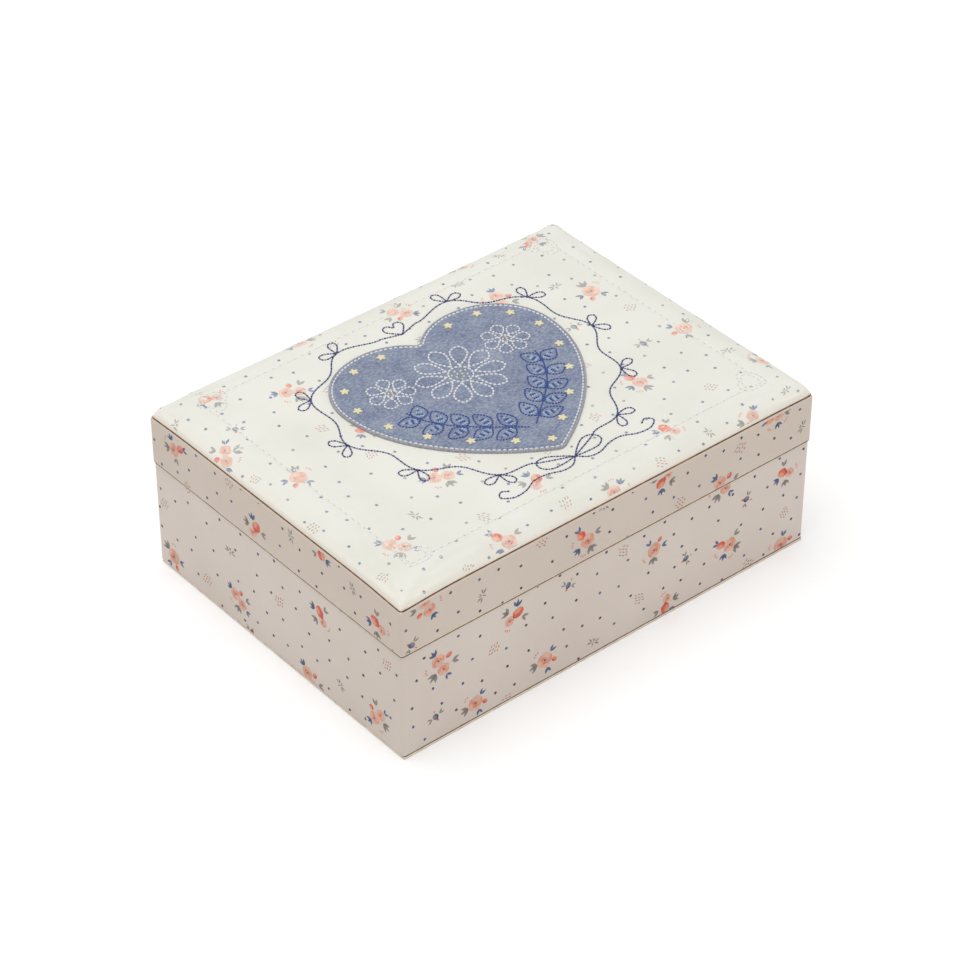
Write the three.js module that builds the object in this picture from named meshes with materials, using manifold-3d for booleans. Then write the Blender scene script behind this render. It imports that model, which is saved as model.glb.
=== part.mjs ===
// A musical keepsake box: a printed box with a hinged, padded lid, a divided tray,
// and an 18-note wind-up movement behind a window at the back of the tray.
// Millimetres. +X runs along the front, +Y towards the back, +Z up.
// The origin is the middle of the underside.

import * as THREE from 'three';
import * as BufferGeometryUtils from 'three/addons/utils/BufferGeometryUtils.js';
import Module from 'manifold-3d';

const wasm = await Module();
wasm.setup();

// ---- Case ----
const lidWidth = 200;
const lidDepth = 150;
const lidWallHeight = 21.2;
const baseWallHeight = 46.8;
const wallBoard = 3; // covered board of the walls and the lid's top
const floorBoard = 3;
const bottomSheet = 1.2; // thin board that closes the underside
const bottomSheetInset = 0.3;
const lidOverhang = 0.4; // the lid stands this far out over the base, all round
const seamGap = 0.7;
const cornerRadius = 1.2;
const contactGap = 0.3; // between two pieces that touch

// ---- Lid: pad, patch and mirror ----
const padInset = 0.5;
const padEdgeRise = 4.7;
const padCrown = 0.8;
const padCornerRadius = 4;
const patchWidth = 102;
const patchHeight = 94;
const patchCleft = 9.2; // how far the cleft dips below the lobes
const patchTip = 3.2; // half the width of its rounded tip
const patchShift = 0.7; // of its middle, towards the hinges
const patchThickness = 1;
const liningBoard = 1.5;
const mirrorWidth = 120;
const mirrorDepth = 84;
const mirrorGlass = 1.8;
const mirrorFrameBorder = 6;
const mirrorFrameThickness = 2.4;
const mirrorFromFront = 62; // middle of the mirror, from the lid's front face
const strikerWidth = 9;
const strikerDepth = 8;

// ---- Tray ----
const neckRise = 3.7; // the lining stands this far above the rim and guides the lid
const floorLining = 1.5;
const dividerBoard = 2.5;
const movementWell = 25.5; // depth of the rear row of wells
const movementWellWidth = 56;
const frontRowDepth = 53.5;
const leftColumnWidth = 105.5;
const halvingShare = 0.5; // the crossing dividers are slotted this far into each other
const coverBoard = 2.5;
const windowPane = 1.2;
const windowWidth = 40;
const windowDepth = 17;
const windowFromLeft = 5.5; // from the cover's left end to the window
const rollCount = 4;
const rollHeight = 26;
const rollGap = 0.5;

// ---- Movement: plate, spring and key ----
const plateWidth = 52;
const plateHeight = 36;
const plateThickness = 2;
const plateClearance = 0.9; // under and over the plate
const trainRise = 5; // the spring's and the cylinder's axes, above the plate's middle
const springFromMiddle = 13.6; // the spring's axis, left of the plate's middle
const housingRadius = 11.4;
const housingHeight = 6.7;
const housingWall = 0.8;
const ribbonThickness = 0.35;
const ribbonTurns = 5;
const arborRadius = 2;
const runningGap = 0.1; // round a turning shaft
const wallHoleGap = 1; // round the arbor where it goes through the back wall
const escutcheonRadius = 6.5;
const escutcheonThickness = 0.8;
const keyStemRadius = 3.1;
const keyStemLength = 9;
const keyWingLength = 6.2; // half-length of one wing
const keyWingHeight = 5.2;
const keyWingThickness = 1.7;
const keyWingHole = 2;

// ---- Movement: gear train ----
const crownModule = 0.5;
const crownTeeth = 36;
const crownFace = 1.8;
const crownDisc = 1.2;
const cylinderPinionTeeth = 12;
const cylinderPinionFace = 1.4;
const spurModule = 0.35;
const cylinderWheelTeeth = 36;
const cylinderWheelFace = 1;
const governorPinionTeeth = 8;
const governorPinionFace = 1.4;
const wormModule = 0.4;
const wormWheelTeeth = 16;
const wormWheelFace = 1.2;
const wormWheelAddendum = 0.4; // of its module
const wormPitchRadius = 1.5;
const wormThreadRadius = 0.3;
const wormLength = 3.6;
const wormThreadSink = 0.15; // of the thread, into the worm's core
const governorAngle = -0.75 * Math.PI; // from the cylinder's axis towards the plate

// ---- Movement: cylinder, comb and governor ----
const cylinderRadius = 6.5;
const cylinderLength = 17.6;
const cylinderWall = 1;
const cylinderFromSpring = 13.2; // from the spring's axis to the cylinder's left end
const cylinderArborRadius = 1;
const pinRise = 0.5;
const pinWidth = 0.4;
const pinsPerTooth = 3;
const combTeeth = 18;
const combPitch = 0.95;
const combSlot = 0.25;
const combThickness = 0.8;
const combLength = 14.9;
const combBody = 7.4;
const combTreble = 1.9; // the shortest tooth's slot ends this far above the longest's
const combGap = 0.12; // between the comb's tips and the pins
const combScrewRadius = 0.8;
const combScrewDepth = 4; // below the comb
const bracketThickness = 0.8;
const bearingFoot = 4; // beside the upright
const bearingRim = 1.6; // of metal round a bearing's bore
const pivotArmWidth = 2.8;
const pivotArmReach = 1.8; // past the pivot it carries
const guideArmReach = 1.5; // past the plunger it guides
const governorArborRadius = 0.5;
const flyRadius = 3.4;
const flyHeight = 8.5;
const flyBlade = 0.3;
const brakeDiscRadius = 3.6;
const brakeDisc = 0.6;

// ---- Stop plunger ----
const plungerRadius = 0.6;
const plungerOffset = 2.8; // from the fly's shaft, over the brake disc's rim
const plungerStroke = 3;
const plungerCapRadius = 1.6;
const plungerCapHeight = 1.4;
const plungerCapRise = 1.2; // under the cap, above the cover
const guideFromArbor = 3; // the plunger's guide, above the cylinder's arbor
const collarRadius = 1.7;
const collarThickness = 0.7;
const returnSpringLength = 3.8;
const returnSpringRadius = 1.3;
const returnSpringWire = 0.2;
const returnSpringTurns = 4;

// ---- Hinges and screws ----
const hingeInset = 38; // a hinge's middle, from the end of the lid
const hingeWidth = 25;
const hingeLeaf = 0.8;
const hingeLeafHeight = 12;
const knuckleRadius = 1.9;
const knuckleShare = 0.4; // of the hinge's width, on the lid's knuckle
const hingePinRadius = 0.7;
const stopLugLength = 3.8;
const stopLugThickness = 1.2;
const leafScrewSpacing = 16;
const leafScrewRadius = 0.8;
const leafScrewHead = 1.5;
const leafScrewDepth = 2.3;
const plateScrewRadius = 1.1;
const plateScrewHead = 2.4;
const plateScrewInset = 4.5;

// ---- Where things stand ----
const baseWidth = lidWidth - 2 * lidOverhang;
const baseDepth = lidDepth - 2 * lidOverhang;
const wallBottom = bottomSheet + contactGap;
const rimHeight = wallBottom + baseWallHeight;
const lidBottom = rimHeight + seamGap;
const lidTop = lidBottom + lidWallHeight;
const lidCeiling = lidTop - wallBoard;
const insideWidth = baseWidth - 2 * wallBoard;
const insideDepth = baseDepth - 2 * wallBoard;
const floorTop = wallBottom + floorBoard;
const neckWidth = insideWidth - 2 * contactGap;
const neckDepth = insideDepth - 2 * contactGap;
const neckTop = rimHeight + neckRise;
const trayWidth = neckWidth - 2 * liningBoard;
const trayDepth = neckDepth - 2 * liningBoard;
const trayFront = -trayDepth / 2;
const trayBack = trayDepth / 2;
const trayLeft = -trayWidth / 2;
const trayRight = trayWidth / 2;
const trayFloor = floorTop + contactGap + floorLining;
const plateBottom = trayFloor + plateClearance;
const dividerTop = plateBottom + plateHeight + plateClearance;
const coverBottom = dividerTop + contactGap;
const coverTop = coverBottom + coverBoard;
const backDividerY = trayBack - movementWell - dividerBoard / 2;
const crossDividerY = trayFront + frontRowDepth + dividerBoard / 2;
const centreDividerX = trayLeft + leftColumnWidth + dividerBoard / 2;
const liningBottom = lidCeiling - contactGap - liningBoard;
const hingeAxisY = lidDepth / 2 + contactGap + knuckleRadius;
const hingeAxisZ = (rimHeight + lidBottom) / 2;

// The movement's own axes: x along the cylinder, y up, z out from the plate into the well.
const springX = -springFromMiddle;
const outerWallZ = -(liningBoard + wallBoard + 2 * contactGap);
const housingBottom = plateThickness + contactGap;
const housingTop = housingBottom + housingHeight;
const crownBottom = housingTop + contactGap;
const crownPitchRadius = (crownModule * crownTeeth) / 2;
const crownPitchZ = crownBottom + crownDisc + 1.1 * crownModule;
const cylinderAxisZ = crownPitchZ + (crownModule * cylinderPinionTeeth) / 2;
const cylinderLeft = springX + cylinderFromSpring;
const cylinderRight = cylinderLeft + cylinderLength;
const trainGap = 0.4; // beside a turning piece
const governorPlateLeft = cylinderRight + trainGap;
const wheelLeft = governorPlateLeft + bracketThickness + trainGap;
const wheelRight = wheelLeft + cylinderWheelFace;
const wormWheelLeft = wheelRight + 1.2;
const flyX = wormWheelLeft + wormWheelFace / 2;
const wormCoreRadius = wormPitchRadius - wormWheelAddendum * wormModule - runningGap;
const governorPlateRight = flyX + wormPitchRadius + wormThreadRadius + trainGap;
const spurDistance = (spurModule * (cylinderWheelTeeth + governorPinionTeeth)) / 2;
const governorY = trainRise + spurDistance * Math.cos(governorAngle);
const governorZ = cylinderAxisZ + spurDistance * Math.sin(governorAngle);
const flyZ = governorZ + (wormModule * wormWheelTeeth) / 2 + wormPitchRadius;
const upperPivotY = governorY + wormLength / 2 + trainGap;
const brakeTop = governorY - (wormModule * wormWheelTeeth) / 2 - 2 * trainGap;
const flyTop = brakeTop - brakeDisc;
const flyBottom = flyTop - flyHeight;
const guideY = trainRise + cylinderArborRadius + guideFromArbor;
const guideTop = guideY + bracketThickness;
const plungerZ = flyZ + plungerOffset;
const collarY = guideTop + 2 * contactGap + returnSpringLength;
const combTip = trainRise - cylinderRadius - pinRise - combGap;
const combBottomZ = cylinderAxisZ - combThickness / 2;
const combScrewY = combTip - combLength + combBody * 0.4;
const movementY = trayBack - contactGap;
const movementZ = plateBottom + plateHeight / 2;
const movementSpan = cylinderRight + 0.2 - cylinderLeft;

// ---- Finishes ----
const looks = {
  printedPaper: { color: 0xd9cec2, roughness: 0.55, metalness: 0 },
  paddedCloth: { color: 0xeeece2, roughness: 0.8, metalness: 0 },
  denimFelt: { color: 0x707c9c, roughness: 0.95, metalness: 0 },
  suede: { color: 0xa7b0c6, roughness: 0.9, metalness: 0 },
  edgePaper: { color: 0x96784f, roughness: 0.7, metalness: 0 },
  mirrorGlass: { color: 0xdfe4e8, roughness: 0.03, metalness: 1 },
  clearPane: { color: 0xe8f0f2, roughness: 0.05, metalness: 0 },
  brass: { color: 0xb8954f, roughness: 0.3, metalness: 1 },
  steel: { color: 0xb9bcc0, roughness: 0.3, metalness: 1 },
  castZinc: { color: 0x9a9c9e, roughness: 0.5, metalness: 1 },
};

// ---- Shape helpers ----

function toSolid(geometry) {
  const plain = geometry.clone();
  plain.deleteAttribute('normal');
  plain.deleteAttribute('uv');
  const merged = BufferGeometryUtils.mergeVertices(plain, 1e-4);
  return new wasm.Manifold(new wasm.Mesh({
    numProp: 3,
    vertProperties: new Float32Array(merged.attributes.position.array),
    triVerts: new Uint32Array(merged.index.array),
  }));
}

function toGeometry(solid) {
  const mesh = solid.getMesh();
  const geometry = new THREE.BufferGeometry();
  geometry.setAttribute('position', new THREE.BufferAttribute(mesh.vertProperties, 3));
  geometry.setIndex(new THREE.BufferAttribute(mesh.triVerts, 1));
  return geometry;
}

function join(...geometries) {
  return toGeometry(geometries.map(toSolid).reduce((whole, next) => whole.add(next)));
}

function cut(geometry, ...tools) {
  return toGeometry(tools.map(toSolid).reduce((rest, tool) => rest.subtract(tool), toSolid(geometry)));
}

// A block between two values on each axis.
function block([x0, x1], [y0, y1], [z0, z1]) {
  return new THREE.BoxGeometry(x1 - x0, y1 - y0, z1 - z0)
    .translate((x0 + x1) / 2, (y0 + y1) / 2, (z0 + z1) / 2);
}

// A round bar on an axis through the origin, from one value to another.
function rod(axis, radius, start, end, sides = 16) {
  const geometry = new THREE.CylinderGeometry(radius, radius, end - start, sides);
  geometry.translate(0, (start + end) / 2, 0);
  if (axis === 'x') geometry.rotateZ(-Math.PI / 2);
  if (axis === 'z') geometry.rotateX(Math.PI / 2);
  return geometry;
}

// A profile of [radius, height] points, listed anticlockwise, turned round the Z axis.
function turned(profile, sides) {
  const points = [...profile, profile[0]].map(([radius, height]) => new THREE.Vector2(radius, height));
  return new THREE.LatheGeometry(points, sides).rotateX(Math.PI / 2);
}

// Turns an extrusion so that it runs along X, its section's x along Y and its y along Z.
function alongX(geometry) {
  const turn = new THREE.Matrix4().makeBasis(
    new THREE.Vector3(0, 1, 0),
    new THREE.Vector3(0, 0, 1),
    new THREE.Vector3(1, 0, 0),
  );
  return geometry.applyMatrix4(turn);
}

function extrude(shape, depth, curveSegments = 6) {
  return new THREE.ExtrudeGeometry(shape, { depth, bevelEnabled: false, curveSegments });
}

function roundedRectangle(width, depth, radius, shape = new THREE.Shape()) {
  const x = width / 2;
  const y = depth / 2;
  shape.moveTo(-x + radius, -y);
  shape.lineTo(x - radius, -y);
  shape.absarc(x - radius, -y + radius, radius, -Math.PI / 2, 0);
  shape.absarc(x - radius, y - radius, radius, 0, Math.PI / 2);
  shape.absarc(-x + radius, y - radius, radius, Math.PI / 2, Math.PI);
  shape.absarc(-x + radius, -y + radius, radius, Math.PI, Math.PI * 1.5);
  return shape;
}

function slab(width, depth, bottom, top, radius) {
  return extrude(roundedRectangle(width, depth, radius), top - bottom, 3).translate(0, 0, bottom);
}

function helix(radius, rise, turns, stepsPerTurn) {
  const points = [];
  for (let step = 0; step <= turns * stepsPerTurn; step += 1) {
    const angle = (step / stepsPerTurn) * 2 * Math.PI;
    const height = (step / (turns * stepsPerTurn)) * rise;
    points.push(new THREE.Vector3(radius * Math.cos(angle), radius * Math.sin(angle), height));
  }
  return new THREE.CatmullRomCurve3(points);
}

// A wire coiled upwards round the Z axis.
function coil(radius, wire, rise, turns, stepsPerTurn = 10) {
  const section = new THREE.Shape();
  section.absarc(0, 0, wire, 0, 2 * Math.PI);
  return new THREE.ExtrudeGeometry(section, {
    steps: turns * stepsPerTurn,
    curveSegments: 3,
    extrudePath: helix(radius, rise, turns, stepsPerTurn),
  });
}

// A closed body through rings of points, each with as many points as the last.
function loft(rings) {
  const count = rings[0].length;
  const positions = [];
  const faces = [];
  rings.flat().forEach((point) => positions.push(point.x, point.y, point.z));
  for (let ring = 0; ring < rings.length - 1; ring += 1) {
    for (let side = 0; side < count; side += 1) {
      const next = (side + 1) % count;
      const low = ring * count;
      const high = low + count;
      faces.push(low + side, low + next, high + next, low + side, high + next, high + side);
    }
  }
  const middle = (ring) => (
    ring.reduce((sum, point) => sum.add(point), new THREE.Vector3()).divideScalar(count)
  );
  [rings[0], rings[rings.length - 1]].forEach((ring, top) => {
    const centre = positions.length / 3;
    const start = top ? (rings.length - 1) * count : 0;
    const { x, y, z } = middle(ring);
    positions.push(x, y, z);
    for (let side = 0; side < count; side += 1) {
      const next = (side + 1) % count;
      faces.push(centre, start + (top ? side : next), start + (top ? next : side));
    }
  });
  const geometry = new THREE.BufferGeometry();
  geometry.setAttribute('position', new THREE.Float32BufferAttribute(positions, 3));
  geometry.setIndex(faces);
  return geometry;
}

// A spur gear round the X axis, one tooth on the given angle, with its face from start to end.
function spurGear({ teeth, gearModule, start, end, bore = 0, phase = 0, addendum = 0.8 }) {
  const pitchRadius = (teeth * gearModule) / 2;
  const tip = pitchRadius + addendum * gearModule;
  const root = pitchRadius - 1.15 * gearModule;
  const pitch = (2 * Math.PI) / teeth;
  const corners = [[root, -0.26], [tip, -0.1], [tip, 0.1], [root, 0.26]];
  const shape = new THREE.Shape();
  for (let tooth = 0; tooth < teeth; tooth += 1) {
    corners.forEach(([radius, share], corner) => {
      const angle = phase + (tooth + share) * pitch;
      const move = tooth + corner === 0 ? 'moveTo' : 'lineTo';
      shape[move](radius * Math.cos(angle), radius * Math.sin(angle));
    });
  }
  if (bore > 0) {
    const hole = new THREE.Path();
    hole.absarc(0, 0, bore, 0, 2 * Math.PI);
    shape.holes.push(hole);
  }
  return alongX(extrude(shape, end - start, 6)).translate(start, 0, 0);
}

function addPiece(parent, name, geometry, look) {
  const mesh = new THREE.Mesh(geometry, new THREE.MeshStandardMaterial(look));
  mesh.name = name;
  parent.add(mesh);
  return mesh;
}

// ---- Screws ----

// A domed screw on the Z axis: its head stands on z = 0 and its shank goes down.
function domedScrew(headRadius, shankRadius, depth) {
  return turned([
    [0, -depth],
    [shankRadius, -depth],
    [shankRadius, 0],
    [headRadius, 0],
    [headRadius * 0.7, headRadius * 0.45],
    [0, headRadius * 0.45],
  ], 8);
}

const leafScrewX = [-leafScrewSpacing / 2, leafScrewSpacing / 2];
const hingeX = [hingeInset - lidWidth / 2, lidWidth / 2 - hingeInset];
const baseScrewZ = hingeAxisZ - seamGap / 2 - contactGap - hingeLeafHeight * 0.65;
const lidScrewZ = hingeAxisZ + seamGap / 2 + contactGap + hingeLeafHeight * 0.65;

function leafScrewHoles(wallFace, height, radius, depth) {
  return hingeX.flatMap((middle) => leafScrewX.map((offset) => (
    rod('y', radius, wallFace - depth, wallFace + 1, 10).translate(middle + offset, 0, height)
  )));
}

const plateScrewSpots = [
  [-plateWidth / 2 + plateScrewInset, -plateHeight / 2 + plateScrewInset],
  [plateWidth / 2 - plateScrewInset, plateHeight / 2 - plateScrewInset],
];

// Holes through the back of the case for the arbor and the movement's two screws.
function movementHoles(start, end) {
  const arborHole = rod('y', arborRadius + wallHoleGap, start, end)
    .translate(springX, 0, movementZ + trainRise);
  const screwHoles = plateScrewSpots.map(([x, y]) => (
    rod('y', plateScrewRadius + contactGap, start, end, 10).translate(x, 0, movementZ + y)
  ));
  return [arborHole, ...screwHoles];
}

// ---- Base ----

function baseWalls() {
  const outside = slab(baseWidth, baseDepth, wallBottom, rimHeight, cornerRadius);
  const inside = block(
    [-insideWidth / 2, insideWidth / 2],
    [-insideDepth / 2, insideDepth / 2],
    [wallBottom - 1, rimHeight + 1],
  );
  const back = baseDepth / 2;
  return cut(
    outside,
    inside,
    ...movementHoles(back - wallBoard - 0.5, back + 0.5),
    ...leafScrewHoles(back, baseScrewZ, leafScrewRadius + contactGap, leafScrewDepth + contactGap),
  );
}

function neckLining() {
  const outside = block(
    [-neckWidth / 2, neckWidth / 2],
    [-neckDepth / 2, neckDepth / 2],
    [floorTop + contactGap, neckTop],
  );
  const inside = block([trayLeft, trayRight], [trayFront, trayBack], [floorTop, neckTop + 1]);
  return cut(outside, inside, ...movementHoles(trayBack - 0.5, neckDepth / 2 + 0.5));
}

function buildCase(base) {
  const sheetWidth = baseWidth - 2 * bottomSheetInset;
  const sheetDepth = baseDepth - 2 * bottomSheetInset;
  const sheet = slab(sheetWidth, sheetDepth, 0, bottomSheet, cornerRadius);
  addPiece(base, 'bottom_sheet', sheet, looks.edgePaper);
  addPiece(base, 'base_walls', baseWalls(), looks.printedPaper);
  addPiece(base, 'base_floor', block(
    [-neckWidth / 2, neckWidth / 2],
    [-neckDepth / 2, neckDepth / 2],
    [wallBottom, floorTop],
  ), looks.printedPaper);
  addPiece(base, 'neck_lining', neckLining(), looks.suede);
  addPiece(base, 'floor_lining', block(
    [trayLeft + contactGap, trayRight - contactGap],
    [trayFront + contactGap, trayBack - contactGap],
    [floorTop + contactGap, trayFloor],
  ), looks.suede);
}

function buildDividers(base) {
  const foot = trayFloor + contactGap;
  const slotHeight = foot + (dividerTop - foot) * halvingShare;
  const half = dividerBoard / 2;
  const halfSlot = half + contactGap;
  const [left, right] = [trayLeft + contactGap, trayRight - contactGap];
  const centreFront = trayFront + contactGap;
  const centreBack = backDividerY - half - contactGap;
  const backBoard = block([left, right], [backDividerY - half, backDividerY + half], [foot, dividerTop]);
  addPiece(base, 'divider_back', backBoard, looks.suede);
  addPiece(base, 'divider_cross', cut(
    block([left, right], [crossDividerY - half, crossDividerY + half], [foot, dividerTop]),
    block(
      [centreDividerX - halfSlot, centreDividerX + halfSlot],
      [crossDividerY - half - 1, crossDividerY + half + 1],
      [foot - 1, slotHeight + contactGap],
    ),
  ), looks.suede);
  addPiece(base, 'divider_centre', cut(
    block([centreDividerX - half, centreDividerX + half], [centreFront, centreBack], [foot, dividerTop]),
    block(
      [centreDividerX - half - 1, centreDividerX + half + 1],
      [crossDividerY - halfSlot, crossDividerY + halfSlot],
      [slotHeight, dividerTop + 1],
    ),
  ), looks.suede);
  [-1, 1].forEach((side) => {
    const inner = (side * movementWellWidth) / 2;
    const outer = inner + side * dividerBoard;
    addPiece(base, side < 0 ? 'movement_wall_left' : 'movement_wall_right', block(
      [Math.min(inner, outer), Math.max(inner, outer)],
      [backDividerY + half + contactGap, trayBack - contactGap],
      [foot, dividerTop],
    ), looks.suede);
  });
}

function buildCover(base) {
  const halfWidth = movementWellWidth / 2 + dividerBoard;
  const front = backDividerY - dividerBoard / 2;
  const back = trayBack - contactGap;
  const middle = (backDividerY + dividerBoard / 2 + back) / 2;
  const opening = [-halfWidth + windowFromLeft, -halfWidth + windowFromLeft + windowWidth];
  const openingY = [middle - windowDepth / 2, middle + windowDepth / 2];
  const plungerHole = rod('z', plungerRadius + contactGap, coverBottom - 1, coverTop + 1, 12)
    .translate(flyX, movementY - plungerZ, 0);
  addPiece(base, 'movement_cover', cut(
    block([-halfWidth, halfWidth], [front, back], [coverBottom, coverTop]),
    block(opening, openingY, [coverBottom - 1, coverTop + 1]),
    plungerHole,
  ), looks.suede);
  const paneBottom = (coverBottom + coverTop - windowPane) / 2;
  addPiece(base, 'movement_window', block(
    [opening[0] + contactGap, opening[1] - contactGap],
    [openingY[0] + contactGap, openingY[1] - contactGap],
    [paneBottom, paneBottom + windowPane],
  ), looks.clearPane);
}

// Padded rolls side by side in the front right well; rings are pushed in between them.
function buildRingRolls(base) {
  const left = centreDividerX + dividerBoard / 2 + contactGap;
  const right = trayRight - contactGap;
  const front = trayFront + contactGap;
  const back = crossDividerY - dividerBoard / 2 - contactGap;
  const pitch = (back - front + rollGap) / rollCount;
  const radius = (pitch - rollGap) / 2;
  const bottom = trayFloor + contactGap;
  const section = new THREE.Shape();
  section.moveTo(-radius, bottom);
  section.lineTo(radius, bottom);
  section.absarc(0, bottom + rollHeight - radius, radius, 0, Math.PI);
  for (let roll = 0; roll < rollCount; roll += 1) {
    const middle = front + radius + roll * pitch;
    addPiece(
      base,
      `ring_roll_${roll + 1}`,
      alongX(extrude(section, right - left, 8)).translate(left, middle, 0),
      looks.suede,
    );
  }
}

// ---- Hinges ----

function hingeKnuckles(ranges) {
  return ranges.map(([start, end]) => rod('x', knuckleRadius, start, end, 16));
}

// A leaf lies on the outside of the back, and the barrel stands behind the seam. The base's leaf
// has the two outer knuckles; the lid's has the middle one, with the lug that stops the lid.
function hingeLeafPiece(side) {
  const isLid = side === 'lid';
  const half = hingeWidth / 2;
  const lidHalf = half * knuckleShare;
  const outer = [[-half, -lidHalf - contactGap], [lidHalf + contactGap, half]];
  const inner = [[-lidHalf, lidHalf]];
  const upward = isLid ? 1 : -1;
  const span = (low, high) => (isLid ? [low, high] : [-high, -low]);
  const wallFace = (isLid ? lidDepth : baseDepth) / 2;
  const plateY = [wallFace + contactGap - hingeAxisY, wallFace + contactGap + hingeLeaf - hingeAxisY];
  const near = seamGap / 2 + contactGap;
  const plate = block([-half, half], plateY, span(near, near + hingeLeafHeight));
  const clearance = knuckleRadius + contactGap;
  const notches = (isLid ? outer : inner).map(([start, end]) => (
    block([start - contactGap, end + contactGap], [-clearance - 2, 0], span(-clearance, clearance))
  ));
  const solid = [cut(plate, ...notches), ...hingeKnuckles(isLid ? inner : outer)];
  if (isLid) {
    const lugHalf = stopLugThickness / 2;
    solid.push(block([-lidHalf, lidHalf], [0, stopLugLength], [-lugHalf, lugHalf]));
  }
  const screwHoles = leafScrewX.map((x) => (
    rod('y', leafScrewRadius + contactGap, plateY[0] - 1, plateY[1] + 1, 10)
      .translate(x, 0, upward * (lidScrewZ - hingeAxisZ))
  ));
  const bore = rod('x', hingePinRadius + contactGap, -half - 1, half + 1, 12);
  return cut(join(...solid), ...screwHoles, bore);
}

function buildHinges(base, lid) {
  hingeX.forEach((middle, index) => {
    const hand = index === 0 ? 'left' : 'right';
    const place = (mesh) => mesh.position.set(middle, hingeAxisY, hingeAxisZ);
    place(addPiece(base, `hinge_${hand}_base_leaf`, hingeLeafPiece('base'), looks.brass));
    place(addPiece(lid, `hinge_${hand}_lid_leaf`, hingeLeafPiece('lid'), looks.brass));
    const hingePin = rod('x', hingePinRadius, -hingeWidth / 2, hingeWidth / 2, 12);
    place(addPiece(base, `hinge_${hand}_pin`, hingePin, looks.brass));
    leafScrewX.forEach((offset, screw) => {
      [[base, 'base', baseDepth / 2, baseScrewZ], [lid, 'lid', lidDepth / 2, lidScrewZ]].forEach(
        ([parent, part, face, height]) => {
          const depth = leafScrewDepth + hingeLeaf + 2 * contactGap;
          const geometry = domedScrew(leafScrewHead, leafScrewRadius, depth).rotateX(-Math.PI / 2);
          const name = `hinge_${hand}_${part}_screw_${screw + 1}`;
          const mesh = addPiece(parent, name, geometry, looks.brass);
          mesh.position.set(middle + offset, face + hingeLeaf + 2 * contactGap, height);
        },
      );
    });
  });
}

// ---- Lid ----

function lidShell() {
  const back = lidDepth / 2;
  return cut(
    slab(lidWidth, lidDepth, lidBottom, lidTop, cornerRadius),
    block(
      [-lidWidth / 2 + wallBoard, lidWidth / 2 - wallBoard],
      [-back + wallBoard, back - wallBoard],
      [lidBottom - 1, lidCeiling],
    ),
    ...leafScrewHoles(back, lidScrewZ, leafScrewRadius + contactGap, leafScrewDepth + contactGap),
  );
}

// Rings of a rounded rectangle, with points along its sides so that they can follow the crown.
function padRing(inset, height) {
  const halfWidth = lidWidth / 2 - padInset - inset;
  const halfDepth = lidDepth / 2 - padInset - inset;
  const radius = Math.max(padCornerRadius - inset, 0.5);
  const sideSteps = 4;
  const cornerSteps = 3;
  const corners = [[1, -1, -Math.PI / 2], [1, 1, 0], [-1, 1, Math.PI / 2], [-1, -1, Math.PI]];
  const ring = [];
  corners.forEach(([sx, sy, start], corner) => {
    const [nextX, nextY] = corners[(corner + 1) % 4];
    for (let step = 0; step <= cornerSteps; step += 1) {
      const angle = start + (step / cornerSteps) * (Math.PI / 2);
      ring.push(new THREE.Vector3(
        sx * (halfWidth - radius) + radius * Math.cos(angle),
        sy * (halfDepth - radius) + radius * Math.sin(angle),
        height,
      ));
    }
    const from = ring[ring.length - 1];
    const to = new THREE.Vector3(
      nextX * (halfWidth - radius) + radius * Math.cos(start + Math.PI / 2),
      nextY * (halfDepth - radius) + radius * Math.sin(start + Math.PI / 2),
      height,
    );
    for (let step = 1; step < sideSteps; step += 1) {
      ring.push(from.clone().lerp(to, step / sideSteps));
    }
  });
  return ring;
}

function lidPad() {
  const bottom = lidTop + contactGap;
  const rings = [padRing(0, bottom)];
  const edgeSteps = 4;
  for (let step = 0; step <= edgeSteps; step += 1) {
    const angle = (step / edgeSteps) * (Math.PI / 2);
    const inset = padEdgeRise * (1 - Math.cos(angle));
    rings.push(padRing(inset, bottom + 0.4 + (padEdgeRise - 0.4) * Math.sin(angle)));
  }
  const crownSteps = 4;
  for (let step = 1; step <= crownSteps; step += 1) {
    const share = step / (crownSteps + 1);
    const inset = padEdgeRise + share * (lidDepth / 2 - padInset - padEdgeRise);
    rings.push(padRing(inset, bottom + padEdgeRise + padCrown * (1 - (1 - share) ** 4)));
  }
  return loft(rings);
}

function heartShape() {
  const half = patchWidth / 2;
  const top = patchHeight / 2;
  const cleft = top - patchCleft;
  const outline = new THREE.Path();
  outline.moveTo(0, cleft);
  outline.bezierCurveTo(half * 0.09, top - patchCleft * 0.45, half * 0.24, top, half * 0.42, top);
  outline.bezierCurveTo(half * 0.75, top, half, top * 0.76, half, top * 0.4);
  outline.bezierCurveTo(half, -top * 0.2, half * 0.53, -top * 0.7, patchTip, patchTip * 0.35 - top);
  outline.bezierCurveTo(patchTip * 0.6, patchTip * 0.08 - top, patchTip * 0.3, -top, 0, -top);
  const right = outline.getPoints(12);
  const left = right.slice(1, -1).reverse().map(({ x, y }) => new THREE.Vector2(-x, y));
  return new THREE.Shape([...right, ...left]);
}

function mirrorFrame(bottom, top) {
  const width = mirrorWidth + 2 * contactGap;
  const depth = mirrorDepth + 2 * contactGap;
  const border = 2 * mirrorFrameBorder;
  const shape = roundedRectangle(width + border, depth + border, mirrorFrameBorder);
  shape.holes.push(roundedRectangle(width, depth, cornerRadius, new THREE.Path()));
  return extrude(shape, top - bottom, 3).translate(0, 0, bottom);
}

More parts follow.
